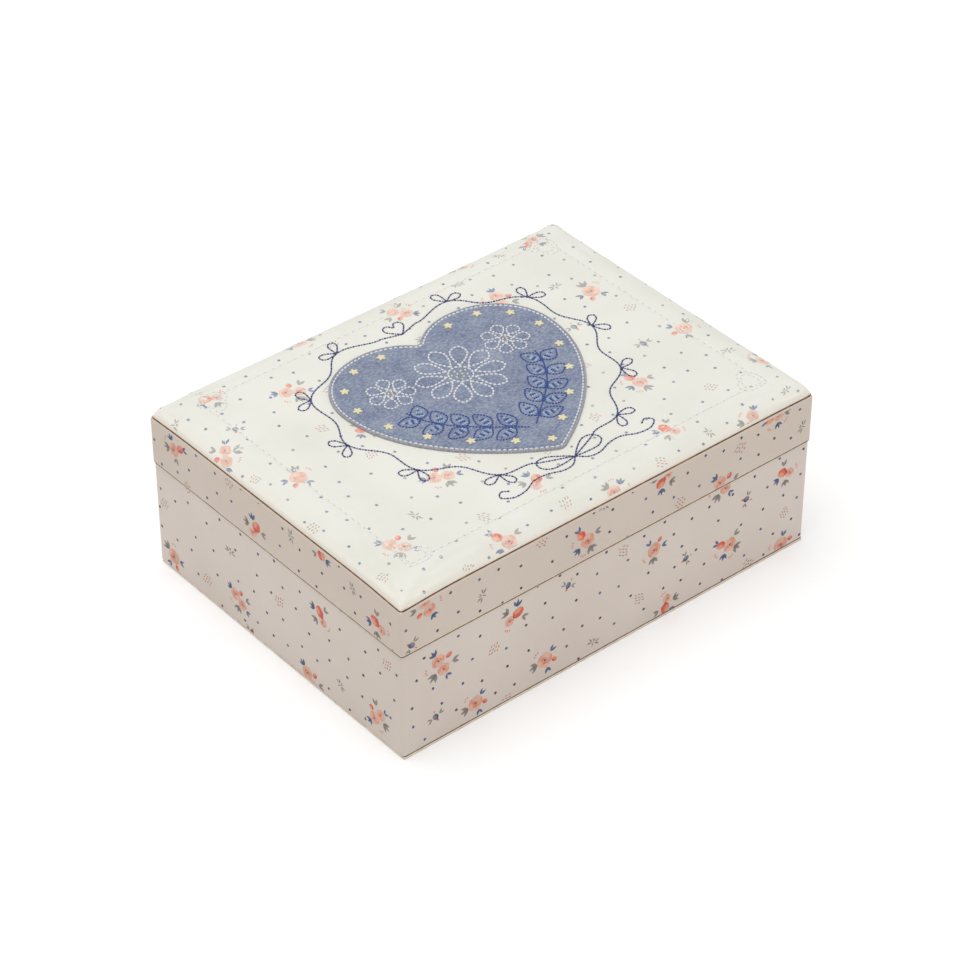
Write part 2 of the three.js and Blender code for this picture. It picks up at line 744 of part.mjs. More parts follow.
function buildLid(lid) {
  addPiece(lid, 'lid_shell', lidShell(), looks.printedPaper);
  addPiece(lid, 'lid_pad', lidPad(), looks.paddedCloth);
  const padCrest = lidTop + contactGap + padEdgeRise + padCrown;
  const patch = extrude(heartShape(), patchThickness)
    .translate(0, patchShift, padCrest + contactGap);
  addPiece(lid, 'heart_patch', patch, looks.denimFelt);
  const halfWidth = lidWidth / 2 - wallBoard - contactGap;
  const halfDepth = lidDepth / 2 - wallBoard - contactGap;
  const liningTop = lidCeiling - contactGap;
  const lining = block([-halfWidth, halfWidth], [-halfDepth, halfDepth], [liningBottom, liningTop]);
  addPiece(lid, 'lid_lining', lining, looks.suede);
  const mirrorY = -lidDepth / 2 + mirrorFromFront;
  const mountTop = liningBottom - contactGap;
  const glass = slab(mirrorWidth, mirrorDepth, mountTop - mirrorGlass, mountTop, cornerRadius);
  addPiece(lid, 'mirror', glass, looks.mirrorGlass).position.y = mirrorY;
  const frame = mirrorFrame(mountTop - mirrorFrameThickness, mountTop);
  addPiece(lid, 'mirror_frame', frame, looks.suede).position.y = mirrorY;
}

// The block under the lid that holds the stop plunger down while the lid is shut.
function buildStriker(lid) {
  const bottom = coverTop + plungerCapRise + plungerCapHeight + contactGap;
  const middleY = movementY - plungerZ;
  addPiece(lid, 'lid_striker', block(
    [flyX - strikerWidth / 2, flyX + strikerWidth / 2],
    [middleY - strikerDepth / 2, middleY + strikerDepth / 2],
    [bottom, liningBottom - contactGap],
  ), looks.suede);
}

// ---- Movement ----

function bedplate() {
  const halfWidth = plateWidth / 2;
  const halfHeight = plateHeight / 2;
  const plate = block([-halfWidth, halfWidth], [-halfHeight, halfHeight], [0, plateThickness]);
  const boss = block(
    [cylinderLeft, cylinderLeft + movementSpan - 0.2],
    [combTip - combLength, combTip - combLength + combBody * 0.8],
    [plateThickness / 2, combBottomZ - contactGap],
  );
  const arborHole = rod('z', arborRadius + runningGap, -1, plateThickness + 1)
    .translate(springX, trainRise, 0);
  const screwHoles = plateScrewSpots.map(([x, y]) => (
    rod('z', plateScrewRadius + contactGap, -1, plateThickness + 1, 10).translate(x, y, 0)
  ));
  const combHoles = combScrewX().map((x) => (
    rod('z', combScrewRadius + contactGap, combBottomZ - combScrewDepth - 1, combBottomZ + 1, 10)
      .translate(x, combScrewY, 0)
  ));
  return cut(join(plate, boss), arborHole, ...screwHoles, ...combHoles);
}

function combScrewX() {
  return [0.22, 0.78].map((share) => cylinderLeft + cylinderLength * share);
}

function comb() {
  const width = combTeeth * combPitch - combSlot;
  const left = cylinderLeft + (cylinderLength - width) / 2;
  const bottom = combTip - combLength;
  const shape = new THREE.Shape();
  shape.moveTo(left, bottom);
  shape.lineTo(left + width, bottom);
  for (let tooth = combTeeth - 1; tooth >= 0; tooth -= 1) {
    const toothLeft = left + tooth * combPitch;
    const slotEnd = bottom + combBody + combTreble * (tooth / combTeeth);
    shape.lineTo(toothLeft + combPitch - combSlot, combTip);
    shape.lineTo(toothLeft, combTip);
    if (tooth > 0) {
      shape.lineTo(toothLeft, slotEnd);
      shape.lineTo(toothLeft - combSlot, slotEnd);
    }
  }
  const holes = combScrewX().map((x) => (
    rod('z', combScrewRadius + contactGap, -1, combThickness + 1, 10).translate(x, combScrewY, 0)
  ));
  return cut(extrude(shape, combThickness), ...holes).translate(0, 0, combBottomZ);
}

function springHousing() {
  const inner = housingRadius - housingWall;
  const hole = arborRadius + contactGap;
  return turned([
    [inner, housingBottom],
    [housingRadius, housingBottom],
    [housingRadius, housingTop],
    [hole, housingTop],
    [hole, housingTop - housingWall],
    [inner, housingTop - housingWall],
  ], 32).translate(springX, trainRise, 0);
}

function mainspring() {
  const stepsPerTurn = 14;
  const start = arborRadius + 2 * contactGap;
  const end = housingRadius - housingWall - contactGap - ribbonThickness;
  const steps = ribbonTurns * stepsPerTurn;
  const spiral = (thickness) => Array.from({ length: steps + 1 }, (_, step) => {
    const angle = (step / stepsPerTurn) * 2 * Math.PI;
    const radius = start + (end - start) * (step / steps) + thickness;
    return new THREE.Vector2(radius * Math.cos(angle), radius * Math.sin(angle));
  });
  const outline = [...spiral(0).reverse(), ...spiral(ribbonThickness)];
  const bottom = housingBottom + 2 * contactGap;
  const width = housingTop - housingWall - contactGap - bottom;
  return extrude(new THREE.Shape(outline), width).translate(springX, trainRise, bottom);
}

function windingArbor() {
  const keyEnd = outerWallZ - contactGap - escutcheonThickness - keyStemLength * 0.7;
  const washerBottom = crownBottom + crownDisc + contactGap + 2.9;
  const washerTop = washerBottom + 0.7;
  return turned([
    [0, keyEnd],
    [arborRadius, keyEnd],
    [arborRadius, washerBottom],
    [arborRadius * 1.7, washerBottom],
    [arborRadius * 1.7, washerTop],
    [0, washerTop],
  ], 16).translate(springX, trainRise, 0);
}

function clutchSpring() {
  const wire = 0.3;
  const radius = arborRadius + runningGap + 2 * wire;
  const bottom = crownBottom + crownDisc + contactGap + wire;
  return coil(radius, wire, 2, 2.5, 12).translate(springX, trainRise, bottom);
}

function windingKey() {
  const start = outerWallZ - 2 * contactGap - escutcheonThickness;
  const end = start - keyStemLength;
  const stem = rod('z', keyStemRadius, end, start, 16);
  const bore = rod('z', arborRadius + contactGap, start - keyStemLength * 0.75, start + 1, 16);
  const wings = [-1, 1].map((side) => {
    const wing = new THREE.Shape();
    wing.absellipse(side * keyWingLength, end, keyWingLength, keyWingHeight, 0, 2 * Math.PI);
    const hole = new THREE.Path();
    hole.absarc(side * keyWingLength * 1.1, end, keyWingHole, 0, 2 * Math.PI);
    wing.holes.push(hole);
    return extrude(wing, keyWingThickness, 9)
      .translate(0, 0, -keyWingThickness / 2)
      .rotateX(Math.PI / 2);
  });
  return cut(join(stem, ...wings), bore).translate(springX, trainRise, 0);
}

function escutcheon() {
  const top = outerWallZ - contactGap;
  const bottom = top - escutcheonThickness;
  const hole = arborRadius + wallHoleGap;
  return turned([
    [hole, bottom],
    [escutcheonRadius * 0.9, bottom],
    [escutcheonRadius, top],
    [hole, top],
  ], 24).translate(springX, trainRise, 0);
}

// The crown wheel's teeth stand up from its rim and drive the cylinder's pinion at a right angle.
function driveWheel() {
  const outer = crownPitchRadius + crownFace / 2;
  const discTop = crownBottom + crownDisc;
  const disc = turned([
    [arborRadius + runningGap, crownBottom],
    [outer, crownBottom],
    [outer, discTop],
    [arborRadius + runningGap, discTop],
  ], 24);
  const pitch = (2 * Math.PI * crownPitchRadius) / crownTeeth;
  const toothTop = crownPitchZ + 0.8 * crownModule;
  const section = new THREE.Shape();
  section.moveTo(-0.22 * pitch, discTop - 0.3);
  section.lineTo(0.22 * pitch, discTop - 0.3);
  section.lineTo(0.1 * pitch, toothTop);
  section.lineTo(-0.1 * pitch, toothTop);
  const teeth = Array.from({ length: crownTeeth }, (_, tooth) => (
    alongX(extrude(section, crownFace))
      .translate(outer - crownFace, 0, 0)
      .rotateZ(((tooth + 0.5) * 2 * Math.PI) / crownTeeth)
  ));
  return join(disc, ...teeth).translate(springX, trainRise, 0);
}

// A thin tube, open towards its wheel, with a pin standing up for each note.
function musicCylinder() {
  const bore = cylinderArborRadius + contactGap;
  const inner = cylinderRadius - cylinderWall;
  const barrel = turned([
    [bore, 0],
    [cylinderRadius, 0],
    [cylinderRadius, cylinderLength],
    [inner, cylinderLength],
    [inner, cylinderWall],
    [bore, cylinderWall],
  ], 32).rotateY(Math.PI / 2);
  const width = combTeeth * combPitch - combSlot;
  const firstTrack = (cylinderLength - width) / 2 + (combPitch - combSlot) / 2;
  const pins = [];
  for (let tooth = 0; tooth < combTeeth; tooth += 1) {
    for (let note = 0; note < pinsPerTooth; note += 1) {
      const beat = (tooth * 7 + note * 11 + 3) % 32;
      const track = firstTrack + tooth * combPitch;
      const pin = block(
        [track - pinWidth / 2, track + pinWidth / 2],
        [-pinWidth / 2, pinWidth / 2],
        [cylinderRadius - cylinderWall / 2, cylinderRadius + pinRise],
      );
      pins.push(pin.rotateX(((beat + 0.5) / 32) * 2 * Math.PI));
    }
  }
  return join(barrel, ...pins).translate(cylinderLeft, trainRise, cylinderAxisZ);
}

function cylinderArbor() {
  const pinionMiddle = springX + crownPitchRadius;
  const start = pinionMiddle - cylinderPinionFace / 2;
  const shaft = rod('x', cylinderArborRadius, start, governorPlateRight + bracketThickness + trainGap);
  // One tooth points down into a gap of the crown wheel.
  const pinion = spurGear({
    teeth: cylinderPinionTeeth,
    gearModule: crownModule,
    start,
    end: start + cylinderPinionFace,
    phase: -Math.PI / 2,
  });
  return join(shaft, pinion).translate(0, trainRise, cylinderAxisZ);
}

function cylinderWheel() {
  return spurGear({
    teeth: cylinderWheelTeeth,
    gearModule: spurModule,
    start: wheelLeft,
    end: wheelRight,
    bore: cylinderArborRadius + contactGap,
    phase: governorAngle,
  }).translate(0, trainRise, cylinderAxisZ);
}

function governorWheel() {
  const start = governorPlateLeft - 0.1;
  const end = governorPlateRight + bracketThickness + trainGap;
  const shaft = rod('x', governorArborRadius, start, end, 12);
  const pinionMiddle = (wheelLeft + wheelRight) / 2;
  const pinion = spurGear({
    teeth: governorPinionTeeth,
    gearModule: spurModule,
    start: pinionMiddle - governorPinionFace / 2,
    end: pinionMiddle + governorPinionFace / 2,
    phase: governorAngle + Math.PI + Math.PI / governorPinionTeeth,
  });
  // A gap faces the worm, which lies straight out from the plate.
  const wheel = spurGear({
    teeth: wormWheelTeeth,
    gearModule: wormModule,
    start: wormWheelLeft,
    end: wormWheelLeft + wormWheelFace,
    phase: Math.PI / 2 + Math.PI / wormWheelTeeth,
    addendum: wormWheelAddendum,
  });
  return join(shaft, pinion, wheel).translate(0, governorY, governorZ);
}

// Worm, brake disc and two-bladed fly on one upright shaft.
function fly() {
  const pitch = Math.PI * wormModule;
  const turns = Math.floor(wormLength / pitch);
  const rise = turns * pitch;
  // Half-way up, the thread faces the wheel on the line of centres.
  const quarter = Math.PI / 2 - turns * Math.PI;
  const threadRadius = wormCoreRadius + wormThreadRadius - wormThreadSink;
  const thread = coil(threadRadius, wormThreadRadius, rise, turns, 12)
    .rotateZ(quarter)
    .translate(0, 0, -rise / 2);
  const bottom = flyBottom - trainGap - bracketThickness - 0.1 - governorY;
  const pieces = [
    rod('z', wormCoreRadius, -wormLength / 2, wormLength / 2, 12),
    rod('z', governorArborRadius, bottom, upperPivotY + bracketThickness + 0.1 - governorY, 12),
    rod('z', brakeDiscRadius, flyTop - governorY, brakeTop - governorY, 20),
    block(
      [-flyRadius, flyRadius],
      [-flyBlade / 2, flyBlade / 2],
      [flyBottom - governorY, flyTop + 0.1 - governorY],
    ),
    thread,
  ];
  return join(...pieces).rotateX(-Math.PI / 2).translate(flyX, governorY, flyZ);
}

function bearing() {
  const right = cylinderLeft - trainGap;
  const left = right - bracketThickness;
  const reach = cylinderArborRadius + bearingRim;
  const bottom = plateThickness + contactGap;
  return cut(
    join(
      block([left, right], [trainRise - reach, trainRise + reach], [bottom, cylinderAxisZ + reach]),
      block(
        [left, right + bearingFoot],
        [trainRise - reach, trainRise + reach],
        [bottom, bottom + bracketThickness],
      ),
    ),
    rod('x', cylinderArborRadius + runningGap, left - 1, right + 1).translate(0, trainRise, cylinderAxisZ),
  );
}

function governorFrame() {
  const foot = [plateThickness + contactGap, plateThickness + contactGap + bracketThickness];
  const right = [governorPlateRight, governorPlateRight + bracketThickness];
  const left = [governorPlateLeft, governorPlateLeft + bracketThickness];
  const armLeft = flyX - pivotArmWidth / 2;
  const armRight = flyX + pivotArmWidth / 2;
  const armX = [armLeft, governorPlateRight + bracketThickness];
  const lowY = governorY - 3;
  const flyReach = flyZ + pivotArmReach;
  const plungerReach = plungerZ + guideArmReach;
  const lowPivot = [flyBottom - trainGap - bracketThickness, flyBottom - trainGap];
  const solid = join(
    block([governorPlateLeft, right[1]], [lowY, guideTop], foot),
    block(left, [lowY, governorY + 3], [foot[0], governorZ + 2.2]),
    block(right, [lowY, guideTop], [foot[0], plungerReach]),
    block(armX, [upperPivotY, upperPivotY + bracketThickness], [flyZ - 1.6, flyReach]),
    block(armX, [guideY, guideTop], [foot[0], plungerReach]),
    block([armLeft, armRight], [lowPivot[0], lowY + 1], foot),
    block([armLeft, armRight], lowPivot, [foot[0], flyReach]),
  );
  const shaftHole = governorArborRadius + runningGap;
  return cut(
    solid,
    rod('x', shaftHole, left[0] - 1, right[1] + 1, 12).translate(0, governorY, governorZ),
    rod('x', cylinderArborRadius + runningGap, right[0] - 1, right[1] + 1)
      .translate(0, trainRise, cylinderAxisZ),
    rod('y', shaftHole, lowPivot[0] - 1, upperPivotY + 2, 12).translate(flyX, 0, flyZ),
    rod('y', plungerRadius + runningGap, guideY - 1, guideTop + 1, 12).translate(flyX, 0, plungerZ),
  );
}

function stopPlunger() {
  const foot = brakeTop + contactGap;
  const capBottom = coverTop + plungerCapRise - movementZ;
  return turned([
    [0, foot],
    [plungerRadius * 1.4, foot],
    [plungerRadius * 1.4, foot + 0.6],
    [plungerRadius, foot + 0.8],
    [plungerRadius, collarY],
    [collarRadius, collarY],
    [collarRadius, collarY + collarThickness],
    [plungerRadius, collarY + collarThickness],
    [plungerRadius, capBottom],
    [plungerCapRadius, capBottom],
    [plungerCapRadius, capBottom + plungerCapHeight * 0.6],
    [0, capBottom + plungerCapHeight],
  ], 12).rotateX(-Math.PI / 2).translate(flyX, 0, plungerZ);
}

function returnSpring() {
  const start = guideTop + contactGap + returnSpringWire;
  const rise = returnSpringLength - 2 * returnSpringWire;
  return coil(returnSpringRadius, returnSpringWire, rise, returnSpringTurns)
    .rotateX(-Math.PI / 2)
    .translate(flyX, start, plungerZ);
}

function buildMovementScrews(movement) {
  plateScrewSpots.forEach(([x, y], index) => {
    const depth = plateThickness * 0.8 - outerWallZ + contactGap;
    const screw = domedScrew(plateScrewHead, plateScrewRadius, depth).rotateY(Math.PI);
    addPiece(movement, index === 0 ? 'movement_screw_left' : 'movement_screw_right', screw, looks.steel)
      .position.set(x, y, outerWallZ - contactGap);
  });
  combScrewX().forEach((x, index) => {
    const screw = domedScrew(combScrewRadius * 2, combScrewRadius, combThickness + combScrewDepth);
    addPiece(movement, `comb_screw_${index + 1}`, screw, looks.steel)
      .position.set(x, combScrewY, combBottomZ + combThickness + contactGap);
  });
}

// The movement is built lying on its plate, then stood against the back of the well.
function buildMovement(root) {
  const movement = new THREE.Group();
  movement.position.set(0, movementY, movementZ);
  movement.rotation.x = Math.PI / 2;
  root.add(movement);
  addPiece(movement, 'bedplate', bedplate(), looks.castZinc);
  addPiece(movement, 'spring_housing', springHousing(), looks.steel);
  addPiece(movement, 'mainspring', mainspring(), looks.steel);
  addPiece(movement, 'winding_arbor', windingArbor(), looks.steel);
  addPiece(movement, 'winding_key', windingKey(), looks.brass);
  addPiece(movement, 'key_escutcheon', escutcheon(), looks.brass);
  addPiece(movement, 'drive_wheel', driveWheel(), looks.brass);
  addPiece(movement, 'clutch_spring', clutchSpring(), looks.steel);
  addPiece(movement, 'music_cylinder', musicCylinder(), looks.brass);
  addPiece(movement, 'cylinder_arbor', cylinderArbor(), looks.steel);
  addPiece(movement, 'cylinder_wheel', cylinderWheel(), looks.brass);
  addPiece(movement, 'cylinder_bearing', bearing(), looks.steel);
  addPiece(movement, 'comb', comb(), looks.steel);
  addPiece(movement, 'governor_frame', governorFrame(), looks.steel);
  addPiece(movement, 'governor_wheel', governorWheel(), looks.brass);
  addPiece(movement, 'fly', fly(), looks.brass);
  addPiece(movement, 'stop_plunger', stopPlunger(), looks.steel);
  addPiece(movement, 'stop_spring', returnSpring(), looks.steel);
  buildMovementScrews(movement);
}

// ---- The whole box ----

const musicBox = new THREE.Group();
const base = new THREE.Group();
const lid = new THREE.Group();
musicBox.add(base, lid);

buildCase(base);
buildDividers(base);
buildCover(base);
buildRingRolls(base);
buildMovement(base);
buildLid(lid);
buildStriker(lid);
buildHinges(base, lid);

export default musicBox;
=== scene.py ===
import random
from math import atan2, copysign, cos, exp, hypot, pi, radians, sin, sqrt
from types import SimpleNamespace

import bmesh
import bpy
from mathutils import Matrix, Vector, kdtree, noise
from mathutils.bvhtree import BVHTree


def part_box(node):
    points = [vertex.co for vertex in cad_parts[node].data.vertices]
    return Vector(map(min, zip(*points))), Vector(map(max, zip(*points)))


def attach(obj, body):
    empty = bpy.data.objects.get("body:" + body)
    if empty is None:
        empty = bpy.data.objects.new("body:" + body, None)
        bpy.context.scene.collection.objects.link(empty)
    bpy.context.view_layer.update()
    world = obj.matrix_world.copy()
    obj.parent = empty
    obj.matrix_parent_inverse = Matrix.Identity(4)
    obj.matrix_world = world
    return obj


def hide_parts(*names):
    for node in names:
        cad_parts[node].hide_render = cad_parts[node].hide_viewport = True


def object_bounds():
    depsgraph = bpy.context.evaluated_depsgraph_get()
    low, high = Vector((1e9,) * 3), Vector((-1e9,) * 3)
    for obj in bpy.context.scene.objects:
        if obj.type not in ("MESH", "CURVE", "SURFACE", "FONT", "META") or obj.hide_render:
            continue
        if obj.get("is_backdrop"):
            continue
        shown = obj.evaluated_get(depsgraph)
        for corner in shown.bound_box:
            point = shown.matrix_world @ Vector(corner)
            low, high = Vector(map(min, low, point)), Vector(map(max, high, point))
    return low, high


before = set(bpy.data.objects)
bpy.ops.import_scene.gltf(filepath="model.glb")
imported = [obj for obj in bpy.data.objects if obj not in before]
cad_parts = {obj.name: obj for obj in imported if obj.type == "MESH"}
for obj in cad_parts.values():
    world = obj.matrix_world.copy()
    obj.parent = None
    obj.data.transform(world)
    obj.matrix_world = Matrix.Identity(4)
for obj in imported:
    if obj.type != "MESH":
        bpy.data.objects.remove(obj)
cadLow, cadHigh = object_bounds()
mm = 0.001
toRight, toBack, up = Vector((1, 0, 0)), Vector((0, 1, 0)), Vector((0, 0, 1))


# Small tools used by every piece

def sized(plain=None, **lengths):  # a group of settings, with its lengths given in millimetres
    return SimpleNamespace(**(plain or {}), **{name: length * mm for name, length in lengths.items()})


def srgb(red, green, blue):  # a paint card's 0-255 values, as linear colour
    def linear(value):
        value /= 255
        return value / 12.92 if value <= 0.04045 else ((value + 0.055) / 1.055) ** 2.4
    return (linear(red), linear(green), linear(blue), 1)


def addNode(tree, kind, feeds=None, **settings):  # feeds are values or other nodes' outputs, for each socket
    node = tree.nodes.new("ShaderNode" + kind)
    for name, value in settings.items():
        setattr(node, name, value)
    for socket, feed in (feeds or {}).items():
        if isinstance(feed, bpy.types.NodeSocket):
            tree.links.new(feed, node.inputs[socket])
        else:
            node.inputs[socket].default_value = feed
    return node


def startFinish(name, **sockets):
    finish = bpy.data.materials.new(name)
    finish.use_nodes = True
    for socket, value in sockets.items():
        finish.node_tree.nodes["Principled BSDF"].inputs[socket.replace("_", " ")].default_value = value
    return finish, addNode(finish.node_tree, "TexCoord").outputs["Object"]


def speckle(place, size, detail=3, roughness=0.5, stretch=(1, 1, 1)):
    spread = addNode(place.id_data, "Mapping", {"Vector": place, "Scale": stretch})
    return addNode(place.id_data, "TexNoise", {
        "Vector": spread.outputs["Vector"], "Scale": 1 / size, "Detail": detail, "Roughness": roughness,
    }).outputs["Fac"]


def shade(factor, stops):  # a colour or a grey level for each position along a ramp
    ramp = addNode(factor.id_data, "ValToRGB", {"Fac": factor})
    for spot, (position, tone) in enumerate(stops.items()):
        stop = ramp.color_ramp.elements[spot] if spot < 2 else ramp.color_ramp.elements.new(position)
        stop.position = position
        stop.color = tone if isinstance(tone, tuple) else (tone, tone, tone, 1)
    return ramp.outputs["Color"]


def blendColour(factor, first, second, mode="MIX"):  # one at least of factor and first is a node's output
    tree = (first if isinstance(first, bpy.types.NodeSocket) else factor).id_data
    feeds = {0: factor, 6: first, 7: second}
    return addNode(tree, "Mix", feeds, data_type="RGBA", blend_type=mode, clamp_factor=True).outputs[2]


def addUp(first, second, how="ADD"):
    return addNode(first.id_data, "Math", {0: first, 1: second}, operation=how).outputs[0]


def ribs(place, pitch, direction):  # fine parallel ridges, for a weave
    return addNode(place.id_data, "TexWave", {
        "Vector": place, "Scale": pi / 10 / pitch, "Distortion": 0.6, "Detail Scale": 1 / pitch / 4,
    }, wave_type="BANDS", bands_direction=direction).outputs["Fac"]


def painted(finish, colour, gloss=None, height=None, depth=0, strength=1):
    # joins colour, gloss and the height of a bump to the finish's shader
    tree = finish.node_tree
    relief = {"Height": height, "Distance": depth, "Strength": strength}
    bump = height and addNode(tree, "Bump", relief).outputs["Normal"]
    for socket, feed in (("Base Color", colour), ("Roughness", gloss), ("Normal", bump)):
        if feed:
            tree.links.new(feed, tree.nodes["Principled BSDF"].inputs[socket])
    return finish


def heading(angle):  # a level direction, turned from the right
    return Vector((cos(angle), sin(angle), 0))


def leftOf(way):
    return Vector((-way.y, way.x, 0))


def cutAlong(bm, spot, normal, clear=False, near=1e-7):
    # cuts a shape along a plane, so that it can bend there; clear takes away what lies behind the plane
    everything = list(bm.verts) + list(bm.edges) + list(bm.faces)
    bmesh.ops.bisect_plane(bm, geom=everything, dist=near, plane_co=spot, plane_no=normal, clear_inner=clear)


def camelName(node):
    first, *others = node.split("_")
    return first + "".join(word.title() for word in others)


def makePiece(bm, name, finishes, closed=True, sharpAngle=35):
    if closed:
        bmesh.ops.recalc_face_normals(bm, faces=bm.faces)
    mesh = bpy.data.meshes.new(name)
    bm.to_mesh(mesh)
    bm.free()
    mesh.shade_smooth()
    if sharpAngle:
        mesh.set_sharp_from_angle(angle=radians(sharpAngle))
    piece = linked(name, mesh)
    for finish in finishes if isinstance(finishes, list) else [finishes]:
        mesh.materials.append(finish)
    return piece


def fit(piece, body, slotName, *nodes):
    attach(piece, body)
    if nodes:
        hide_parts(*nodes)
    return piece


def linked(name, data):  # a new object in the scene
    piece = bpy.data.objects.new(name, data)
    bpy.context.scene.collection.objects.link(piece)
    return piece


def applyModifiers(piece):
    bpy.context.view_layer.update()
    shown = piece.evaluated_get(bpy.context.evaluated_depsgraph_get())
    mesh = bpy.data.meshes.new_from_object(shown)
    piece.modifiers.clear()
    piece.data = mesh
    return piece


nearlySquare = 1.2  # radians between two faces, past which their edge counts as a corner


def softBevel(bm, edges, offset, segments=3):
    bmesh.ops.bevel(bm, geom=edges, offset=offset, offset_type="OFFSET", segments=segments,
                    profile=0.5, affect="EDGES", clamp_overlap=True, material=-1)


def roundedLoop(bm, halfWidth, halfDepth, corner, height, steps=6):
    others = set(bm.faces)
    made = bmesh.ops.create_grid(bm, x_segments=1, y_segments=1, size=1)["verts"]
    bmesh.ops.scale(bm, vec=(halfWidth, halfDepth, 1), verts=made)
    bmesh.ops.translate(bm, vec=(0, 0, height), verts=made)
    bmesh.ops.bevel(bm, geom=made, offset=corner, offset_type="OFFSET", segments=steps, profile=0.5,
                    affect="VERTICES", material=-1)
    return next(face for face in bm.faces if face not in others)


def raiseBlock(bm, faces, height):  # thickens flat faces into a closed block
    raised = bmesh.ops.extrude_face_region(bm, geom=faces, use_keep_orig=True)["geom"]
    bmesh.ops.translate(bm, vec=up * height, verts=[g for g in raised if isinstance(g, bmesh.types.BMVert)])
    bmesh.ops.recalc_face_normals(bm, faces=bm.faces)


def wallRing(name, finishes, outer, inner, low, high, corner, rim=0.5 * mm, foot=0.3 * mm):
    # a band of wall between two rounded rectangles, with its rims softened
    bm = bmesh.new()
    loops = []
    for (halfWidth, halfDepth), radius in ((outer, corner), (inner, 0.3 * mm)):
        face = roundedLoop(bm, halfWidth, halfDepth, radius, low)
        loops.append(list(face.edges))
        bmesh.ops.delete(bm, geom=[face], context="FACES_ONLY")
    bmesh.ops.bridge_loops(bm, edges=loops[0] + loops[1])
    raiseBlock(bm, list(bm.faces), high - low)
    for height, offset in ((high, rim), (low, foot)):
        edges = [e for e in bm.edges if e.is_manifold and e.calc_face_angle(0) > nearlySquare
                 and all(abs(v.co.z - height) < 1e-7 for v in e.verts)]
        softBevel(bm, edges, offset)
    return makePiece(bm, name, finishes)


def softenNode(node, finish, bevel, body, slotName, segments=2, name=None):
    # a copy of a CAD node with its facets merged and its edges rounded
    bm = bmesh.new()
    bm.from_mesh(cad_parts[node].data)
    bmesh.ops.remove_doubles(bm, verts=bm.verts, dist=0.003 * mm)
    bmesh.ops.dissolve_limit(bm, angle_limit=radians(1), verts=bm.verts, edges=bm.edges)
    sharp = [e for e in bm.edges if e.is_manifold and e.calc_face_angle(0) > radians(28)]
    softBevel(bm, sharp, bevel, segments)
    return fit(makePiece(bm, name or camelName(node), finish), body, slotName, node)


def dress(mesh, finish):
    mesh.materials.clear()
    mesh.materials.append(finish)


def surfaceOf(piece):  # asks where a ray meets the piece
    return BVHTree.FromObject(piece, bpy.context.evaluated_depsgraph_get())


def modify(piece, kind, **settings):  # adds a modifier and applies it
    modifier = piece.modifiers.new(kind.lower(), kind)
    for name, value in settings.items():
        setattr(modifier, name, value)
    return applyModifiers(piece)


def puffUp(piece, held, mostMove, pressure, frames=20):
    # swells a closed piece by a Cloth run under inner pressure, no point moving more than mostMove
    start = [vertex.co.copy() for vertex in piece.data.vertices]
    group = piece.vertex_groups.new(name="held")
    group.add([i for i, spot in enumerate(start) if held(spot)], 1.0, "REPLACE")
    cloth = piece.modifiers.new("puff", "CLOTH")
    cloth.settings.use_pressure = True
    cloth.settings.uniform_pressure_force = pressure
    cloth.settings.effector_weights.gravity = 0
    cloth.settings.vertex_group_mass = "held"
    cloth.settings.quality = 4
    cloth.collision_settings.use_collision = False
    for step in range(1, frames + 1):
        bpy.context.scene.frame_set(step)
    applyModifiers(piece)
    bpy.context.scene.frame_set(1)
    for vertex, spot in zip(piece.data.vertices, start):
        move = vertex.co - spot
        if move.length > mostMove:
            vertex.co = spot + move * (mostMove / move.length)
    return piece


# Finishes

# the rim colour is painted light, laid over the pad's rolled edge
cloth = sized({"colour": srgb(239, 238, 229), "shadow": srgb(233, 232, 221), "rim": srgb(252, 245, 231)},
              rimHeight=4, weave=0.42)


def paddedCloth():
    finish, place = startFinish("ivoryCloth", Roughness=0.72, Sheen_Weight=0.12, Sheen_Roughness=0.5)
    soft = speckle(place, 28 * mm, 4)
    colour = shade(soft, {0.3: cloth.shadow, 0.62: cloth.colour})
    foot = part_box("lid_pad")[0].z
    # painted light: paler and warmer where the cloth turns down, to lift the shade on its rolled edge
    tree = finish.node_tree
    height = addNode(tree, "SeparateXYZ", {"Vector": place}).outputs["Z"]
    top = foot + cloth.rimHeight
    paintedLightShare = addNode(tree, "MapRange", {"Value": height, "From Min": foot, "From Max": top})
    colour = blendColour(paintedLightShare.outputs["Result"], cloth.rim, colour)
    weave = addUp(ribs(place, cloth.weave, "X"), ribs(place, cloth.weave, "Y"))
    fuzz = speckle(place, 0.5 * mm, 3, 0.6)
    return painted(finish, colour, None, addUp(weave, fuzz), 0.02 * mm, 0.6)


paper = sized({"colour": srgb(231, 218, 207), "low": srgb(224, 210, 198)}, fibre=0.9)


def coverPaper(name, tone):
    finish, place = startFinish(name, Roughness=0.42, Coat_Weight=0.06, Coat_Roughness=0.35)
    soft = speckle(place, 40 * mm, 3)
    fibre = speckle(place, paper.fibre, 4, 0.65, (1, 1, 2.5))
    colour = shade(soft, {0.25: paper.low, 0.7: paper.colour})
    level = shade(fibre, {0.2: 0.965, 0.75: 1})
    gloss = shade(fibre, {0.3: 0.36, 0.7: 0.5})
    # tone darkens the paper; below white it is painted shade, used for the lid's walls
    colour = blendColour(1.0, blendColour(1.0, colour, level, "MULTIPLY"), tone, "MULTIPLY")
    return painted(finish, colour, gloss, fibre, 0.015 * mm, 0.5)


def plainFinish(name, colours, size, detail, grain=0.5, stretch=(1, 1, 1), gloss=None, bump=None, **sockets):
    # one speckle drives the colour, the gloss and the bump (its depth and strength)
    finish, place = startFinish(name, **sockets)
    wear = speckle(place, size, detail, grain, stretch)
    return painted(finish, shade(wear, colours), gloss and shade(wear, gloss),
                   *((wear, *bump) if bump else ()))


